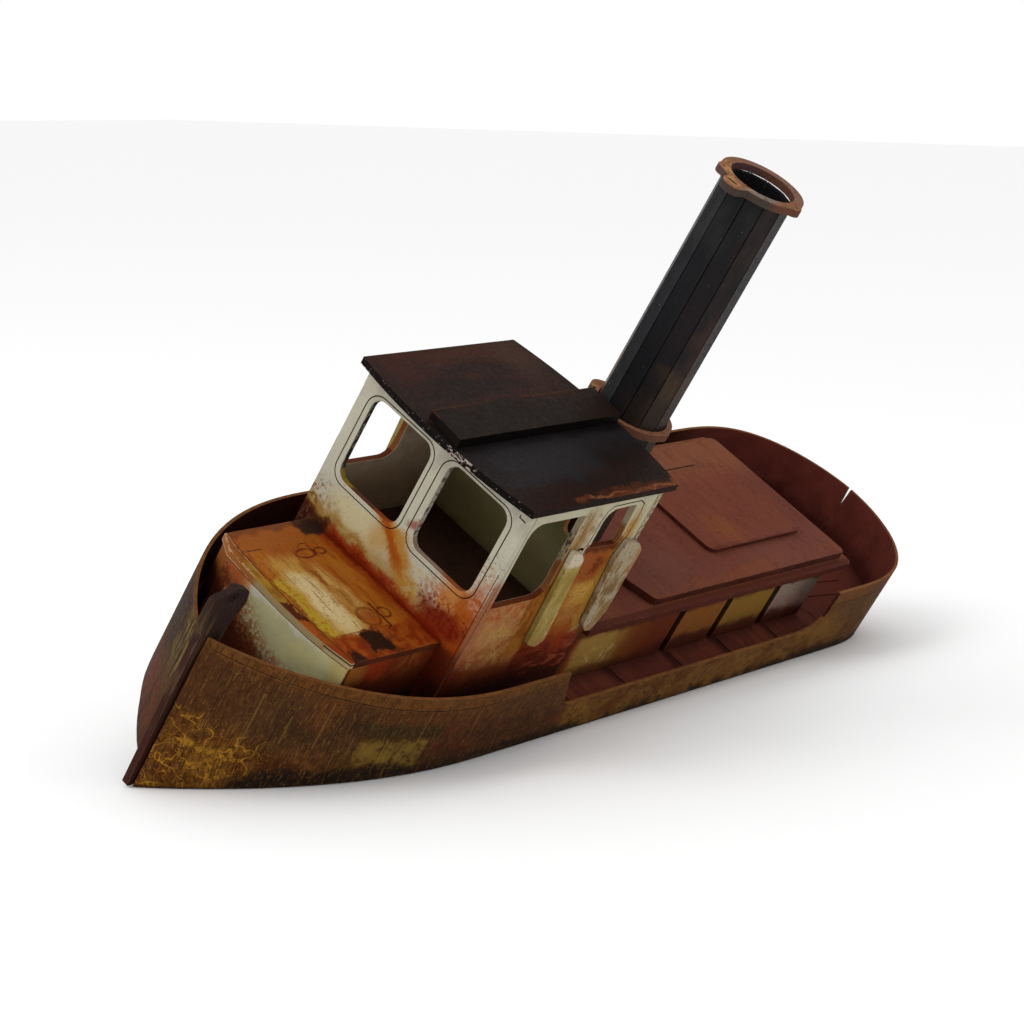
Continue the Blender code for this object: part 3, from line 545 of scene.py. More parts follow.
def roof():
    p = Paint("roof_paint_worn_and_shaded", (42, 42, 46), 0.5, 0.02)
    along = (1, 0.35, 1)
    p.vary(0.06, 0.85, 1.15, stretch=along).vary(0.7, 0.9, 1.1, stretch=along)
    # starboard half: brown-red over charcoal, redder outboard
    p.over((38, 31, 28), 0.9, x=(None, -3), edge=4)
    p.over((44, 32, 26), 0.9, x=(None, -16), edge=6)
    p.over((58, 36, 28), 0.7, x=(None, -8), edge=6, specks=(9, 0.5, 0.12, along))
    p.over((58, 37, 28), 0.85, x=(None, -26), edge=3.5)
    p.over((78, 44, 30), 0.6, x=(None, -22), edge=4, specks=(6, 0.5, 0.12, along, (9, 0, 0)))
    p.over((74, 55, 44), 0.7, p.blob(x=(-26, 10), y=(53, 7), edge=0.7))
    p.over((68, 40, 33), 0.6, p.blob(x=(-27, 7), y=(5, 8), edge=0.7))
    p.over((37, 30, 32), 0.7, p.blob(x=(-21, 5), y=(27, 12), edge=0.7), specks=(5, 0.45, 0.1, along))
    p.over((62, 40, 32), 0.7, x=(-12.5, -6.8), edge=1.4, specks=(7, 0.5, 0.12, along, (0, 5, 0)))
    p.over((88, 46, 30), 0.8, x=(-9.5, -6.6), y=(34, 54), edge=0.8, specks=(4, 0.42))
    # port half: charcoal, browner to the aft corner and the outer edge
    # painted shadow of the roof strip, along its port side
    p.over((28, 28, 30), 0.9, x=(3, 8.4), edge=1.2)
    p.over((45, 46, 50), 0.85, x=(8, 22), y=(2, 42), edge=5)
    p.over((31, 24, 22), 0.85, x=(14, None), y=(40, None), edge=6)
    p.over((36, 26, 21), 0.85, x=(24, None), edge=3.5)
    p.over((48, 29, 20), 0.6, x=(20, None), edge=5, specks=(6, 0.5, 0.12, along))
    p.over((40, 34, 32), 0.5, y=(None, 0.5), edge=1.5)
    worn = p.specks(9, 0.42, 0.1, (1, 0.35, 1))
    p.over((104, 56, 28), 0.9, worn, x=(30.4, None), y=(15, None), edge=0.5)
    p.over((92, 48, 26), 0.7, worn, x=(29.4, 30.2), y=(26, 56), edge=0.3)
    p.over((150, 96, 60), 0.8, x=(31.3, 32.1), y=(15, 60), edge=0.3, specks=(6, 0.44, 0.1, along))
    p.over((46, 28, 20), 0.8, x=(30, None), y=(None, 15), edge=1.2)
    p.over((124, 74, 38), 0.8, p.blob(x=(31.2, 2.0), y=(60.5, 1.8), edge=0.4))
    # cut edges: black, chipped to the white board at the front
    p.over((60, 46, 38), 0.8, p.facing("-z"))
    p.over((44, 26, 20), 0.9, p.facing("-x"))
    p.over((30, 20, 18), 0.9, p.facing("x"))
    p.over((34, 24, 20), 0.9, p.facing("y"))
    ahead = p.both(p.facing("-y"), p.patch(y=(None, 2), ragged=False))
    p.over((22, 21, 22), 0.95, ahead)
    p.over((190, 186, 180), 0.95, ahead, x=(4.5, 13.5), edge=1.5, specks=(0.8, 0.54, 0.03, (0.6, 1, 1)))
    p.over((150, 144, 138), 0.8, ahead, specks=(0.6, 0.66, 0.02, (0.6, 1, 1), (3, 0, 0)))
    p.over((82, 66, 56), 0.5, p.edges(0.3), specks=(3.5, 0.52, 0.08))
    p.over((200, 196, 190), 0.7, specks=(0.45, 0.79, 0.015))
    return p.finish(0.05, tone=(0.66, 0.56, 0.52))


def roof_strip():
    p = Paint("roof_strip_paint", (40, 33, 29), 0.5, 0.02)
    along = (1, 0.35, 1)
    p.vary(0.08, 0.85, 1.15, stretch=along).vary(0.8, 0.9, 1.1, stretch=along)
    p.over((44, 31, 27), 0.8, y=(48, None), edge=8)
    p.over((40, 35, 32), 0.7, x=(-2, 7), y=(6, 46), edge=3, specks=(8, 0.48, 0.1, along))
    p.over((62, 38, 28), 0.7, x=(None, -3.6), edge=1.2, specks=(6, 0.5, 0.1, along))
    p.over((34, 29, 28), 0.6, y=(None, -3.5), edge=1)
    p.over((17, 15, 15), 0.95, p.facing("x"))
    p.over((22, 20, 20), 0.9, p.facing("-y"))
    p.over((64, 34, 24), 0.9, p.facing("-x"))
    p.over((150, 80, 52), 0.85, p.edges(0.5), x=(None, -3), specks=(7, 0.44, 0.08, along))
    p.over((78, 62, 52), 0.45, p.edges(0.3), specks=(4, 0.5, 0.08, along))
    p.over((200, 196, 190), 0.7, specks=(0.45, 0.78, 0.015))
    return p.finish(0.05, tone=(0.58, 0.5, 0.45))


def casing_roof(name, hatch=False):
    p = Paint(name, (128, 76, 58) if hatch else (122, 74, 60), 0.78)
    p.vary(0.06, 0.93, 1.05).vary(0.5, 0.96, 1.04).vary(2.2, 0.97, 1.03)
    p.over((128, 84, 74), 0.7, x=(16, None), y=(150, None), edge=5)
    p.over((120, 80, 68), 0.7, x=(10, None), y=(88, 122), edge=8)
    p.over((150, 104, 72), 0.7, x=(None, -14), y=(150, None), edge=7)
    p.over((148, 96, 48), 0.6, p.blob(x=(10, 6), y=(151, 6), edge=0.8))
    p.over((140, 88, 54), 0.6, x=(24, None), edge=2, specks=(9, 0.5, 0.1, (1, 0.4, 1)))
    p.over((150, 92, 74), 0.4, p.noise(0.35, 3, 0.5, (1, 0.35, 1)), p.noise(0.05, 2))
    side = p.sawn()
    p.over((84, 40, 30), 0.9, side)
    p.over((60, 26, 18), 0.7, side, specks=5)
    if hatch:
        p.over((104, 52, 34), 0.6, x=(16.9, None), edge=0.5)
    else:
        p.over((92, 46, 34), 0.8, x=(30.2, None), edge=0.5, ragged=False)
    # a dark outline along the edges: partly dirt, partly painted shadow; then light chips
    p.over((62, 32, 28), 0.75, p.edges(0.7), specks=(4, 0.45, 0.08))
    p.over((190, 128, 96), 0.6, p.edges(0.4), specks=(2, 0.6, 0.05))
    p.over((100, 56, 44), 0.5, p.specks(5, 0.55, 0.12, (0.4, 1, 1)), specks=1.2)
    p.over((90, 50, 38), 0.5, specks=(0.9, 0.7, 0.03))
    return p.finish(0.05, tone=(0.57, 0.44, 0.4))


def casing_panel():
    p = Paint("casing_panel_paint", (112, 62, 30), 0.75)
    p.vary(0.15, 0.85, 1.1).vary(1.5, 0.93, 1.07)
    p.over((150, 116, 58), 0.95, y=(None, 90), edge=5)
    p.over((152, 124, 64), 0.9, y=(64, 82), z=(5, 15), edge=2.5)
    p.over((186, 164, 112), 0.7, y=(70, 84), z=(3, 10), edge=2, specks=(1.6, 0.54, 0.04))
    p.over((108, 56, 28), 0.8, y=(84, 113), edge=5)
    p.over((96, 42, 24), 0.85, y=(97, 113), edge=5)
    p.over((116, 40, 16), 0.9, y=(None, 63.3), edge=1.2)
    p.over((132, 84, 40), 0.95, y=(113, 138), edge=1)
    p.over((136, 104, 46), 0.95, y=(138, 165.5), edge=1)
    p.over((142, 130, 122), 0.95, y=(166, 192), edge=1)
    p.over((108, 96, 90), 0.7, y=(180, 192), edge=4)
    p.over((148, 110, 106), 0.8, y=(166, 192), z=(None, 10), edge=2, specks=(3, 0.46))
    # painted shade: darker along the foot of the panels and under the casing roof's overhang
    p.over((76, 36, 28), 0.9, y=(108, None), z=(None, 5.2), edge=1.6)
    p.over((74, 34, 22), 0.85, z=(None, 3.2), edge=1.8)
    p.over((74, 34, 24), 0.8, z=(15.3, None), edge=0.9)
    p.over((44, 18, 14), 0.85, p.facing_both("y"))
    p.over((50, 26, 20), 0.8, p.facing("-x"))
    p.over((70, 34, 20), 0.6, specks=(0.9, 0.66, 0.03))
    return p.finish(0.05, tone=(0.85, 0.78, 0.68))


def deck():
    p = Paint("deck_paint_worn_and_shaded", (92, 44, 34), 0.8)
    p.vary(0.1, 0.85, 1.12).vary(0.9, 0.93, 1.07, stretch=(0.3, 1, 1))
    for seam in DECK_SEAMS:
        p.over((52, 20, 16), 0.85, y=(seam - 3.2, seam), edge=1.2)
    p.over((112, 58, 40), 0.6, y=(40, 200), edge=5, specks=(7, 0.52, 0.1, (0.3, 1, 1)))
    p.over((116, 66, 46), 0.5, x=(38, None), y=(56, None), edge=1.5)
    p.over((84, 38, 30), 0.6, y=(196, None), edge=4)
    p.over((58, 26, 20), 0.8, y=(None, 40), edge=4)
    # painted shade in the recesses along the bulwarks, the casing and the wheelhouse
    p.over((40, 16, 12), 0.7, p.corners(7, 0.45, 0.95))
    return p.finish(0.06)


def cabin_floor():
    p = Paint("cabin_floor_paint", (62, 40, 28), 0.85)
    p.vary(0.1, 0.7, 1.15).vary(0.8, 0.9, 1.08)
    p.over((120, 84, 40), 0.9, p.noise(0.14), x=(6, None), y=(None, 26), edge=6)
    return p.finish(0.06)


def bottom():
    p = Paint("bottom_paint_worn", (62, 50, 42), 0.85)
    p.vary(0.08, 0.75, 1.15).vary(1.0, 0.9, 1.08, stretch=(1, 0.25, 1))
    p.over((84, 48, 30), 0.6, specks=(9, 0.55, 0.08, (1, 0.5, 1)))
    p.over((110, 86, 48), 0.45, p.specks(14, 0.56, 0.08), specks=2)
    p.over((92, 66, 46), 0.5, p.edges(0.5))
    return p.finish(0.06)


def stem():
    p = Paint("stem_paint_worn", (72, 48, 38), 0.72)
    p.vary(0.15, 0.82, 1.12).vary(1.2, 0.92, 1.08, stretch=(1, 1, 0.3))
    p.over((58, 50, 48), 0.85, z=(16, None), edge=4)
    p.over((118, 104, 58), 0.45, z=(-4, 24), edge=4, specks=(2.5, 0.58, 0.06, (1, 1, 0.15)))
    p.over((80, 46, 38), 0.7, z=(None, -14), edge=4)
    p.over((88, 66, 56), 0.4, p.facing("-y"), specks=(3, 0.5, 0.1, (1, 1, 0.3)))
    p.over((104, 92, 76), 0.5, z=(-2, 20), edge=3, specks=(2, 0.56, 0.05, (1, 1, 0.2)))
    p.over((130, 112, 98), 0.6, p.edges(0.35), specks=(4, 0.45))
    p.over((34, 26, 24), 0.7, p.blob(y=(-58.6, 1.6), z=(28.7, 1.6), edge=0.25))
    return p.finish(0.06, tone=(0.52, 0.4, 0.37))


def hull_side():
    p = Paint("hull_side_paint", (98, 64, 38), 0.72, ragged=1.1)
    p.vary(0.09, 0.84, 1.12).vary(0.7, 0.88, 1.12)
    vertical = (1, 1, 0.14)
    # height above the cut bottom edge
    bottom_edge = p.math("MULTIPLY_ADD", p.math("ABSOLUTE", p.at["x"]), DEADRISE_SLOPE, KEEL_Z)
    foot = p.math("SUBTRACT", p.at["z"], bottom_edge)
    ragged_foot = p.math("ADD", foot, p.math("SUBTRACT", p.soft["z"], p.at["z"]))
    # forebody
    p.over((84, 54, 34), 0.8, y=(None, -51), z=(-9, 14), edge=3)
    p.over((82, 58, 40), 0.8, y=(-52, -25), z=(-6, 13), edge=3.5)
    p.over((108, 66, 38), 0.7, y=(-41, -34), z=(4, 14), edge=2.5)
    p.over((106, 64, 38), 0.6, y=(-12, 4), z=(2, 15), edge=3)
    p.over((84, 44, 30), 0.85, y=(-4, 22), z=(-8, 9), edge=3)
    p.over((88, 58, 36), 0.7, y=(14, 44), z=(-2, 15), edge=4)
    p.over((84, 46, 32), 0.75, y=(18, 50), z=(-8, 5), edge=3)
    p.over((58, 52, 30), 0.9, y=(-27, -4), z=(4.5, 9.5), edge=1.6)
    p.over((118, 96, 50), 0.9, y=(-26, -7.5), z=(-5.5, 4), edge=0.9)
    p.over((136, 116, 60), 0.8, y=(-20, -8), z=(-4, 3), edge=1, specks=(3, 0.48))
    p.over((134, 98, 44), 0.7, y=(-27, -8), z=(-5.6, -4.6), edge=0.3)
    p.over((98, 58, 26), 0.6, y=(-22, -8), z=(-5, -2.5), edge=0.6, specks=2)
    p.over((112, 84, 44), 0.8, y=(-30, -22), z=(-8, -2.5), edge=1.6)
    p.over((118, 78, 46), 0.9, p.blob(y=(-35, 6), z=(-5.5, 3.4), edge=0.4))
    p.over((78, 42, 18), 0.85, y=(-54, -36), z=(-20, -7.5), edge=2.2)
    # forefoot: yellow showing in scratches and rubbed spots
    p.over((104, 62, 24), 0.85, y=(None, -47), z=(None, -6), edge=2.5)
    forefoot = p.patch(y=(None, -45), z=(-31, -3), edge=2)
    p.over((132, 92, 34), 0.6, forefoot, specks=(5, 0.52))
    p.over((150, 108, 42), 0.85, p.blob(y=(-53.5, 3.6), z=(-17, 4.5), edge=0.5))
    p.over((62, 32, 12), 0.6, forefoot, specks=(2.2, 0.55, 0.08))
    p.over((186, 142, 54), 0.85, forefoot, p.scratches(0.16, 0.014))
    p.over((176, 132, 52), 0.75, forefoot, p.scratches(0.26, 0.013, (20, 5, 9)))
    p.over((184, 142, 52), 0.8, y=(-58.5, -50), z=(-12.8, -10.8), edge=0.6, specks=(2, 0.44))
    # midships, cut low
    amid = p.patch(y=(49, 184), edge=3)
    p.over((112, 78, 40), 0.85, amid, z=(None, 6), edge=1)
    p.over((128, 98, 48), 0.7, amid, specks=(11, 0.5, 0.07, (1, 0.6, 1)))
    p.over((96, 54, 24), 0.8, amid, specks=(8, 0.55, 0.05, (1, 0.8, 1), (0, 40, 0)))
    p.over((136, 100, 48), 0.85, y=(51, 62), z=(-5, 5), edge=1.5)
    p.over((128, 94, 48), 0.6, y=(110, 152), z=(-4, 5), edge=5)
    p.over((82, 48, 22), 0.55, amid, specks=(2.2, 0.55, 0.06))
    # quarter and stern
    p.over((98, 68, 44), 0.85, y=(188, None), edge=4)
    p.over((110, 78, 48), 0.7, y=(205, None), z=(None, 8), edge=4)
    p.over((130, 98, 48), 0.8, y=(181, 201), z=(-2, 10), edge=2.5)
    p.over((92, 64, 42), 0.7, y=(190, 208), z=(4, 16), edge=3)
    p.over((88, 56, 34), 0.7, y=(198, None), edge=4, specks=(9, 0.54, 0.07))
    # the bulwark band and dark bottom edge
    band = p.patch(z=(14.6, None), edge=0.3, ragged=False)
    p.over((120, 76, 38), 0.7, band)
    p.over((104, 74, 42), 0.6, band, specks=(5, 0.5, 0.1, (1, 0.4, 1)))
    p.over((92, 54, 38), 0.7, band, y=(205, None), edge=8)
    p.over((32, 27, 27), 0.93, p.step(ragged_foot, 6.6, 4.0), y=(-48, -9), edge=3)
    p.over((34, 28, 28), 0.95, p.step(ragged_foot, 4.4, 2.2), y=(-49, 62), edge=3)
    p.over((58, 40, 28), 0.55, y=(-46, 40), z=(-9, 12), edge=4, specks=(7, 0.53, 0.08))
    patchy = p.both(p.step(ragged_foot, 3.4, 1.2), p.specks(14, 0.5, 0.05, (1, 1, 0.2), (0, 9, 0)))
    p.over((42, 32, 26), 0.9, patchy, y=(60, 176), edge=3)
    p.over((42, 33, 27), 0.9, p.step(ragged_foot, 3.6, 1.4), y=(174, 232), edge=4)
    p.over((36, 26, 22), 0.8, p.step(foot, 0.7, 0.3))
    # hatching: fine upright scratches, dark and light
    fore = p.patch(y=(None, 48), edge=4)
    p.over((50, 32, 20), 0.5, fore, specks=(0.6, 0.56, 0.06, vertical))
    p.over((142, 110, 66), 0.45, fore, specks=(0.5, 0.62, 0.05, vertical, (4, 2, 0)))
    p.over((60, 38, 24), 0.5, fore, specks=(1.6, 0.6, 0.05))
    p.over((70, 44, 26), 0.5, specks=(1.5, 0.6, 0.05, (1, 0.35, 1), (0, 0, 7)))
    p.over((138, 102, 56), 0.4, specks=(0.8, 0.64, 0.04))
    for y, z0, z1 in ((-57.0, -9, -1), (-43.5, -3, 6), (-28.4, -2, 4), (-10.7, 3, 14), (-36.5, -2, 13),
                      (-50.2, -10, 10), (7.2, 3, 11), (-19.5, -2, 4)):
        p.over((158, 128, 80), 0.45, y=(y - 0.12, y + 0.12), z=(z0, z1), edge=0.2, ragged=False)
    p.over((150, 128, 64), 0.5, y=(-25, -8), z=(-4.5, 3.5), edge=1.2, specks=(3, 0.46))
    # starboard bow
    starboard = p.step(p.at["x"], 0.0, -0.5)
    p.over((54, 40, 38), 0.93, starboard)
    p.over((74, 48, 36), 0.8, starboard, z=(None, -1), edge=4)
    p.over((96, 50, 32), 0.8, starboard, y=(None, -42), z=(-16, -4), edge=3, specks=(7, 0.42, 0.15))
    p.over((128, 114, 62), 0.7, starboard, y=(None, -57), z=(-2, None), edge=2,
           specks=(1.6, 0.5, 0.08, (1, 1, 0.2)))
    p.over((84, 58, 38), 0.8, starboard, y=(None, -54), z=(-5, 2), edge=2)
    p.over((78, 54, 40), 0.7, starboard, y=(-30, None), edge=12)
    p.over((104, 72, 40), 0.7, starboard, y=(20, None), edge=20, specks=(9, 0.5, 0.1, (1, 0.5, 1)))
    p.over((96, 70, 48), 0.4, starboard, specks=(1.4, 0.58, 0.06, (1, 1, 0.4)))
    p.over((40, 30, 28), 0.85, starboard, p.step(ragged_foot, 3.6, 1.4))
    # inner faces, and the worn top edge
    outward = p.math("ADD", p.math("MULTIPLY", p.normal["x"], p.at["x"]),
                     p.math("MULTIPLY", p.normal["y"], p.math("SUBTRACT", p.at["y"], HULL_MIDDLE_Y)))
    inner = p.step(outward, -0.5, -3.0)
    p.over((70, 34, 30), 0.97, inner)
    p.over((116, 58, 60), 0.9, inner, y=(205, None), edge=12)
    p.over((62, 36, 32), 0.8, inner, y=(None, 60), edge=10)
    p.over((66, 30, 26), 0.35, inner, specks=(8, 0.52, 0.15))
    p.over((48, 20, 16), 0.6, inner, z=(None, 5), edge=3)
    top = p.both(p.facing("z"), p.patch(z=(4, None), ragged=False))
    p.over((134, 94, 62), 0.9, top)
    p.over((104, 66, 40), 0.7, top, specks=3)
    p.over((156, 116, 80), 0.6, p.edges(0.35), z=(4, None), specks=(3, 0.45, 0.12))
    p.raise_by(p.noise(1.6, 2, 0.5, vertical), 0.05)
    return p.finish(0.07, tone=(0.68, 0.58, 0.4))


def funnel():
    p = Paint("funnel_paint_worn_and_shaded", (29, 29, 30), 0.45, 0.08)
    along = (1, 1, 0.25)
    p.vary(0.07, 0.82, 1.18, stretch=along).vary(0.8, 0.9, 1.1, stretch=along)
    p.over((32, 30, 31), 0.8, x=(3.5, None), z=(84, None), edge=3)
    p.over((44, 33, 34), 0.6, x=(4, None), z=(88, None), edge=3, specks=(9, 0.5, 0.12, along))
    # painted shade: a bluish dark upright band down one side of the stack
    p.over((15, 16, 20), 0.85, x=(-7.5, -3.2), y=(None, 76), edge=1.3)
    p.over((50, 50, 40), 0.6, x=(None, -8), y=(None, 80), edge=1.2, specks=(9, 0.5, 0.1, along))
    p.over((46, 45, 42), 0.6, y=(None, 76), z=(124, 140), edge=4, specks=(5, 0.5, 0.12, along))
    p.over((84, 64, 44), 0.85, x=(6, None), z=(None, 90), edge=2.2, specks=(6, 0.42, 0.14, along))
    p.over((70, 50, 42), 0.7, x=(8.6, None), edge=1.2, specks=(8, 0.48, 0.12, along, (0, 4, 0)))
    p.over((42, 33, 27), 0.7, x=(0, None), z=(None, 80), edge=4)
    p.over((104, 74, 50), 0.9, x=(None, -7.6), z=(None, 92), edge=1.5, specks=(5, 0.4, 0.14, along))
    p.over((46, 30, 22), 0.7, z=(None, 66), edge=3)
    p.over((196, 196, 196), 0.9, specks=(0.5, 0.775, 0.015))
    p.over((52, 46, 42), 0.5, p.edges(0.4), specks=(6, 0.5, 0.1, along))
    return p.finish(0.05, tone=(0.64, 0.66, 0.7))


def ring():
    p = Paint("ring_paint_worn_and_shaded", (124, 84, 60), 0.75)
    p.vary(0.3, 0.85, 1.1).vary(1.8, 0.92, 1.07)
    p.over((164, 118, 74), 0.8, x=(-13, 6), y=(None, 75), edge=2, specks=3)
    p.over((116, 86, 76), 0.7, y=(84, None), edge=2)
    side = p.sawn()
    p.over((88, 56, 44), 0.9, side)
    # painted shade on this part of the collar's side face
    p.over((58, 54, 50), 0.85, side, x=(-6, 9.5), y=(None, 74), z=(100, None), edge=1.5)
    p.over((84, 60, 62), 0.8, side, x=(None, -6), z=(100, None), edge=1)
    p.over((112, 102, 96), 0.85, p.facing("z"), x=(3, 10), y=(66, 76), z=(100, None), edge=1)
    p.over((74, 40, 26), 0.7, specks=(1.1, 0.62, 0.04))
    p.over((158, 116, 86), 0.5, p.edges(0.3))
    return p.finish(0.06)


# --- modifiers on the CAD boards -------------------------------------------------
ROUND_BOARD, ROUND_CARD, WELD_REACH = 0.2, 0.12, 0.005   # mm
ROUND_ABOVE = math.radians(32)                   # gentler bends stay as they are
SCRIBE = Paint("scribe_line_dark", (30, 25, 23), 0.9, ragged=0).finish(0.02)
SCRIBE_PROUD = 0.5                               # how far the cutters stand out of the board


def round_edges(obj, width):
    """Joins the imported faces and rounds the sawn edges."""
    mesh = obj.data
    for name in ("custom_normal", "sharp_face", "sharp_edge"):
        if name in mesh.attributes:
            mesh.attributes.remove(mesh.attributes[name])
    weld = obj.modifiers.new("weld", "WELD")
    weld.merge_threshold = WELD_REACH * MM
    bevel = obj.modifiers.new("round", "BEVEL")
    bevel.width, bevel.segments = width * MM, 2
    bevel.limit_method, bevel.angle_limit = "ANGLE", ROUND_ABOVE
    bevel.harden_normals = True
    for polygon in mesh.polygons:
        polygon.use_smooth = True


def sweep(bm, points, normals, width, depth, closed=False):
    """Square-section bar along points (ship mm), sunk by depth into the surface they lie on."""
    count = len(points)
    rings = []
    for i, (point, normal) in enumerate(zip(points, normals)):
        back = points[i - 1] if (closed or i) else point
        ahead = points[(i + 1) % count] if (closed or i < count - 1) else point
        a, b = (point - back), (ahead - point)
        tangent = (a.normalized() + b.normalized()).normalized()
        across = tangent.cross(normal).normalized()
        straight = b.normalized() if b.length else a.normalized()
        scale = 1 / max(abs(across.dot(straight.cross(normal).normalized())), 0.4)
        half = across * (width / 2 * scale)
        rise, sink = normal * SCRIBE_PROUD, normal * depth
        corners = (half + rise, -half + rise, -half - sink, half - sink)
        rings.append([bm.verts.new(world(*(point + corner))) for corner in corners])
    pairs = list(zip(rings, rings[1:])) + ([(rings[-1], rings[0])] if closed else [])
    for one, two in pairs:
        for k in range(4):
            bm.faces.new((one[k], one[(k + 1) % 4], two[(k + 1) % 4], two[k]))
    if not closed:
        bm.faces.new(rings[0])
        bm.faces.new(reversed(rings[-1]))


def rounded_rect(u0, v0, u1, v1, r, steps=6):
    points = []
    centres = ((u1 - r, v1 - r), (u0 + r, v1 - r), (u0 + r, v0 + r), (u1 - r, v0 + r))
    for quarter, (cu, cv) in enumerate(centres):
        for k in range(steps + 1):
            a = math.radians(90 * quarter + 90 * k / steps)
            points.append((cu + r * math.cos(a), cv + r * math.sin(a)))
    return points


class Scriber:
    """Cuts lines into one board with a hidden cutter that leaves the dark scribe colour in them."""

    def __init__(self, node, lift, normal):
        self.node, self.lift, self.normal = node, lift, Vector(normal)
        self.bm = bmesh.new()

    def line(self, uv, closed=False, width=0.32, depth=0.3):
        points = [Vector(self.lift(u, v)) for u, v in uv]
        sweep(self.bm, points, [self.normal] * len(points), width, depth, closed=closed)

    def surface_line(self, points, normals, width=0.3, depth=0.22):
        sweep(self.bm, points, normals, width, depth)

    def cut(self):
        bmesh.ops.recalc_face_normals(self.bm, faces=self.bm.faces)
        mesh = bpy.data.meshes.new(f"scribe_{self.node}")
        self.bm.to_mesh(mesh)
        self.bm.free()
        mesh.materials.append(SCRIBE)
        cutter = bpy.data.objects.new(f"scribe_{self.node}", mesh)
        bpy.context.scene.collection.objects.link(cutter)
        cutter.hide_render = cutter.hide_viewport = True
        obj = NODES[self.node]
        boolean = obj.modifiers.new("scribe", "BOOLEAN")
        boolean.operation, boolean.solver, boolean.object = "DIFFERENCE", "EXACT", cutter
        boolean.material_mode = "TRANSFER"


SIDE_WALL_X, TRUNK_TOP_Z, CASING_TOP_Z = 31.0, 23.8, 23.9
SHEER_LINE_Z, SHEER_LOW_Y, SHEER_CURVE, SHEER_AFT_RISE, SHEER_STEP = 14.1, -8.0, 0.0006, 0.1, 3.0
PLANK_TOP_Z = 13.4
SEAM_IN_X, SEAM_OUT_X = 30.2, 40.0               # the side decks' seams, from the casing to the bulwark
FAN_START_Y, FAN_END_Y, FAN_FALL = 204.0, 236.0, 0.42    # the afterdeck's planks spread like a fan
FAN_IN, FAN_OUT = 0.9, 0.85


def scribe_front():
    s = Scriber("wheelhouse_front", lambda x, z: (x, 0.0, z), (0, -1, 0))
    s.line(rounded_rect(0.9, 37.0, 26.9, 65.9, 4.6), closed=True)
    s.line(rounded_rect(-27.5, 37.0, -1.8, 65.1, 4.6), closed=True)
    s.line([(27.6, 67.0), (27.6, 66.2), (29.8, 66.1)], width=0.35)
    s.line([(-30.9, 47.0), (-30.9, 64.4)], width=0.2)
    s.line([(30.4, 22.0), (30.4, 50.0)], width=0.2, depth=0.2)
    s.cut()


def scribe_side(word, sign):
    s = Scriber(f"wheelhouse_side_{word}", lambda y, z: (sign * SIDE_WALL_X, y, z), (sign, 0, 0))
    s.line([(28.4, 41.0), (28.4, 57.0), (27.6, 63.0), (27.0, 66.2)], width=0.22)
    s.line([(34.0, 54.0), (34.0, 62.5), (34.8, 65.6), (36.6, 66.9), (48.6, 67.1), (50.9, 65.8), (51.5, 63.0),
            (51.9, 40.0), (52.4, 26.0)], width=0.32)
    s.line([(30.4, 53.3), (31.6, 53.6), (33.2, 53.0)], width=0.7, depth=0.8)
    s.cut()


def scribe_hull(word, sign):
    s = Scriber(f"hull_side_{word}", None, (1, 0, 0))
    flip = Matrix.Diagonal((sign, 1, 1))

    def on(y, z):
        return flip @ Vector((half_breadth(y), y, z))

    for first, last in ((-61.0, 41.0), (184.5, 240.0)):
        count = int((last - first) / SHEER_STEP)
        ys = [first + (last - first) * k / count for k in range(count + 1)]
        rise = [SHEER_CURVE * (y - SHEER_LOW_Y) ** 2 if y < STERN_FULL_Y / 2 else SHEER_AFT_RISE
                for y in ys]
        sheer = [(y, SHEER_LINE_Z + up) for y, up in zip(ys, rise)]
        s.surface_line([on(y, z) for y, z in sheer], [flip @ hull_normal(y) for y in ys], 0.25)
    for y, low in ((-57.0, -20.0), (-45.5, -9.0), (-33.0, -4.0), (-20.0, -1.5), (-7.0, 1.0), (8.0, 2.0),
                   (24.0, 3.0), (197.0, 1.0), (212.0, 1.0), (226.0, 1.0)):
        s.surface_line([on(y, low), on(y, PLANK_TOP_Z)], [flip @ hull_normal(y)] * 2, 0.18, 0.12)
    s.cut()


def scribe_deck():
    s = Scriber("deck", lambda x, y: (x, y, 0.0), (0, 0, 1))
    for y in DECK_SEAMS:
        for sign in (1, -1):
            s.line([(sign * SEAM_IN_X, y), (sign * SEAM_OUT_X, y)], width=0.5)
    for x0, x1 in ((-27, -32), (-20, -25), (-12, -16), (-4, -5.5), (4, 5.5), (12, 16), (20, 25), (27, 32)):
        s.line([(x0 * FAN_IN, FAN_START_Y), (x1 * FAN_OUT, FAN_END_Y - abs(x0) * FAN_FALL)], width=0.4)
    s.cut()


def scribe_trunk():
    s = Scriber("trunk_top", lambda x, y: (x, y, TRUNK_TOP_Z), (0, 0, 1))
    s.line([(7.2, -11.0), (11.0, -10.7), (16.2, -10.7), (17.0, -12.6)], width=0.3, depth=0.2)
    s.line([(-17.5, -11.0), (-17.8, -13.2), (-17.0, -14.6)], width=0.22, depth=0.2)
    s.line([(-18.4, -32.0), (-18.3, -27.0)], width=0.22, depth=0.2)
    s.cut()


def scribe_hatch():
    s = Scriber("casing_roof_upper", lambda x, y: (x, y, CASING_TOP_Z), (0, 0, 1))
    s.line([(-19.0, 144.0), (-19.0, 173.0)], width=0.35)
    s.cut()


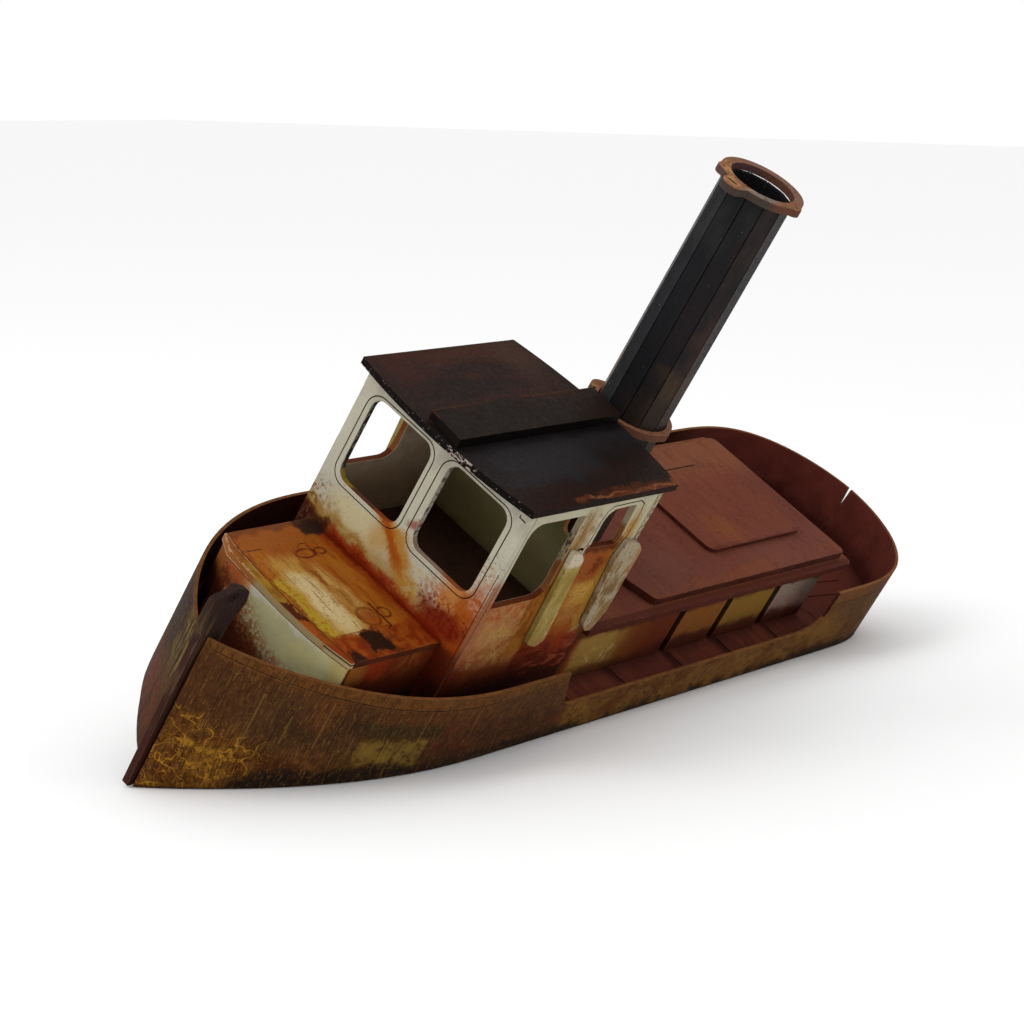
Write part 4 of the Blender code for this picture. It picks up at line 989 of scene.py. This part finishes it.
PAINTS = {
    "wheelhouse_front": front_wall(), "wheelhouse_side_": side_wall(), "wheelhouse_aft": aft_wall(),
    "wheelhouse_floor": cabin_floor(), "grab_rail_fwd_": rail_paint("rail_paint_fwd", False),
    "grab_rail_aft_": rail_paint("rail_paint_aft", True), "trunk_top": trunk_top(),
    "trunk_front": trunk_front(), "trunk_front_rail": trunk_rail(), "trunk_side_": trunk_side(),
    "roof_panel": roof(), "roof_strip": roof_strip(), "casing_roof_": casing_roof("casing_roof_paint"),
    "casing_hatch": casing_roof("casing_hatch_paint", True), "casing_panel_": casing_panel(), "deck": deck(),
    "hull_bottom_": bottom(), "stem_post": stem(), "hull_side_": hull_side(), "funnel_stave_": funnel(),
    "funnel_collar": ring(),
}
PAINTS["casing_aft"] = PAINTS["casing_panel_"]
PAINTS["keel_strip"] = PAINTS["hull_bottom_"]
PAINTS["funnel_ring"] = PAINTS["funnel_collar"]
CARD = ("hull_side", "casing_hatch", "funnel_stave")

for name, obj in NODES.items():
    key = max((k for k in PAINTS if name.startswith(k)), key=len)
    obj.data.materials[0] = PAINTS[key]
    round_edges(obj, ROUND_CARD if name.startswith(CARD) else ROUND_BOARD)

scribe_front()
for word, sign in (("port", 1), ("starboard", -1)):
    scribe_side(word, sign)
    scribe_hull(word, sign)
scribe_deck()
scribe_trunk()
scribe_hatch()


# --- stage ------------------------------------------------------------------------
FLOOR_HALF, FLOOR_DROP = 6.0, 0.0002             # metres; the drop keeps the floor off the keel
LIGHT_AT, LIGHT_AIM, LIGHT_SIZE, LIGHT_WATTS = (-0.5, -0.9, 1.1), (0, 0, 0.05), 0.8, 5.0
SENSOR_MM, LENS_MM, CLIP = 36.0, 96.22, (0.01, 50.0)
CAMERA_FROM_ORIGIN = Vector((0.45971, -0.53608, 0.15089))
CAMERA_TURN = (80.839, -0.874, 37.125)           # degrees about x, y and z


def plain_material(name, colour, roughness):
    material = bpy.data.materials.new(name)
    material.use_nodes = True
    bsdf = material.node_tree.nodes["Principled BSDF"]
    bsdf.inputs["Base Color"].default_value = (*colour, 1.0)
    bsdf.inputs["Roughness"].default_value = roughness
    bsdf.inputs["Specular IOR Level"].default_value = 0.1
    return material


floor_mesh = bpy.data.meshes.new("floor")
floor_corners = [(x * FLOOR_HALF, y * FLOOR_HALF, 0) for x, y in ((-1, -1), (1, -1), (1, 1), (-1, 1))]
floor_mesh.from_pydata(floor_corners, [], [(0, 1, 2, 3)])
floor_mesh.materials.append(plain_material("pale_floor", (0.93, 0.93, 0.93), 0.95))
floor = bpy.data.objects.new("floor", floor_mesh)
floor.location.z = -FLOOR_DROP
bpy.context.scene.collection.objects.link(floor)

sky = bpy.data.worlds.new("studio")
sky.use_nodes = True
background = sky.node_tree.nodes["Background"]
background.inputs["Color"].default_value = (1.0, 1.0, 1.0, 1.0)
background.inputs["Strength"].default_value = 1.0
bpy.context.scene.world = sky


def area_light(name, position, target, size, power):
    data = bpy.data.lights.new(name, "AREA")
    data.size, data.energy = size, power
    light = bpy.data.objects.new(name, data)
    light.location = position
    light.rotation_euler = (Vector(target) - Vector(position)).to_track_quat("-Z", "Y").to_euler()
    bpy.context.scene.collection.objects.link(light)


area_light("key", LIGHT_AT, LIGHT_AIM, LIGHT_SIZE, LIGHT_WATTS)

camera_data = bpy.data.cameras.new("camera")
camera_data.sensor_width, camera_data.lens = SENSOR_MM, LENS_MM
camera_data.clip_start, camera_data.clip_end = CLIP
camera = bpy.data.objects.new("camera", camera_data)
camera.location = TO_WORLD @ ORIGIN + CAMERA_FROM_ORIGIN
camera.rotation_euler = [math.radians(a) for a in CAMERA_TURN]
bpy.context.scene.collection.objects.link(camera)
bpy.context.scene.camera = camera
bpy.context.scene.view_settings.view_transform = "Standard"
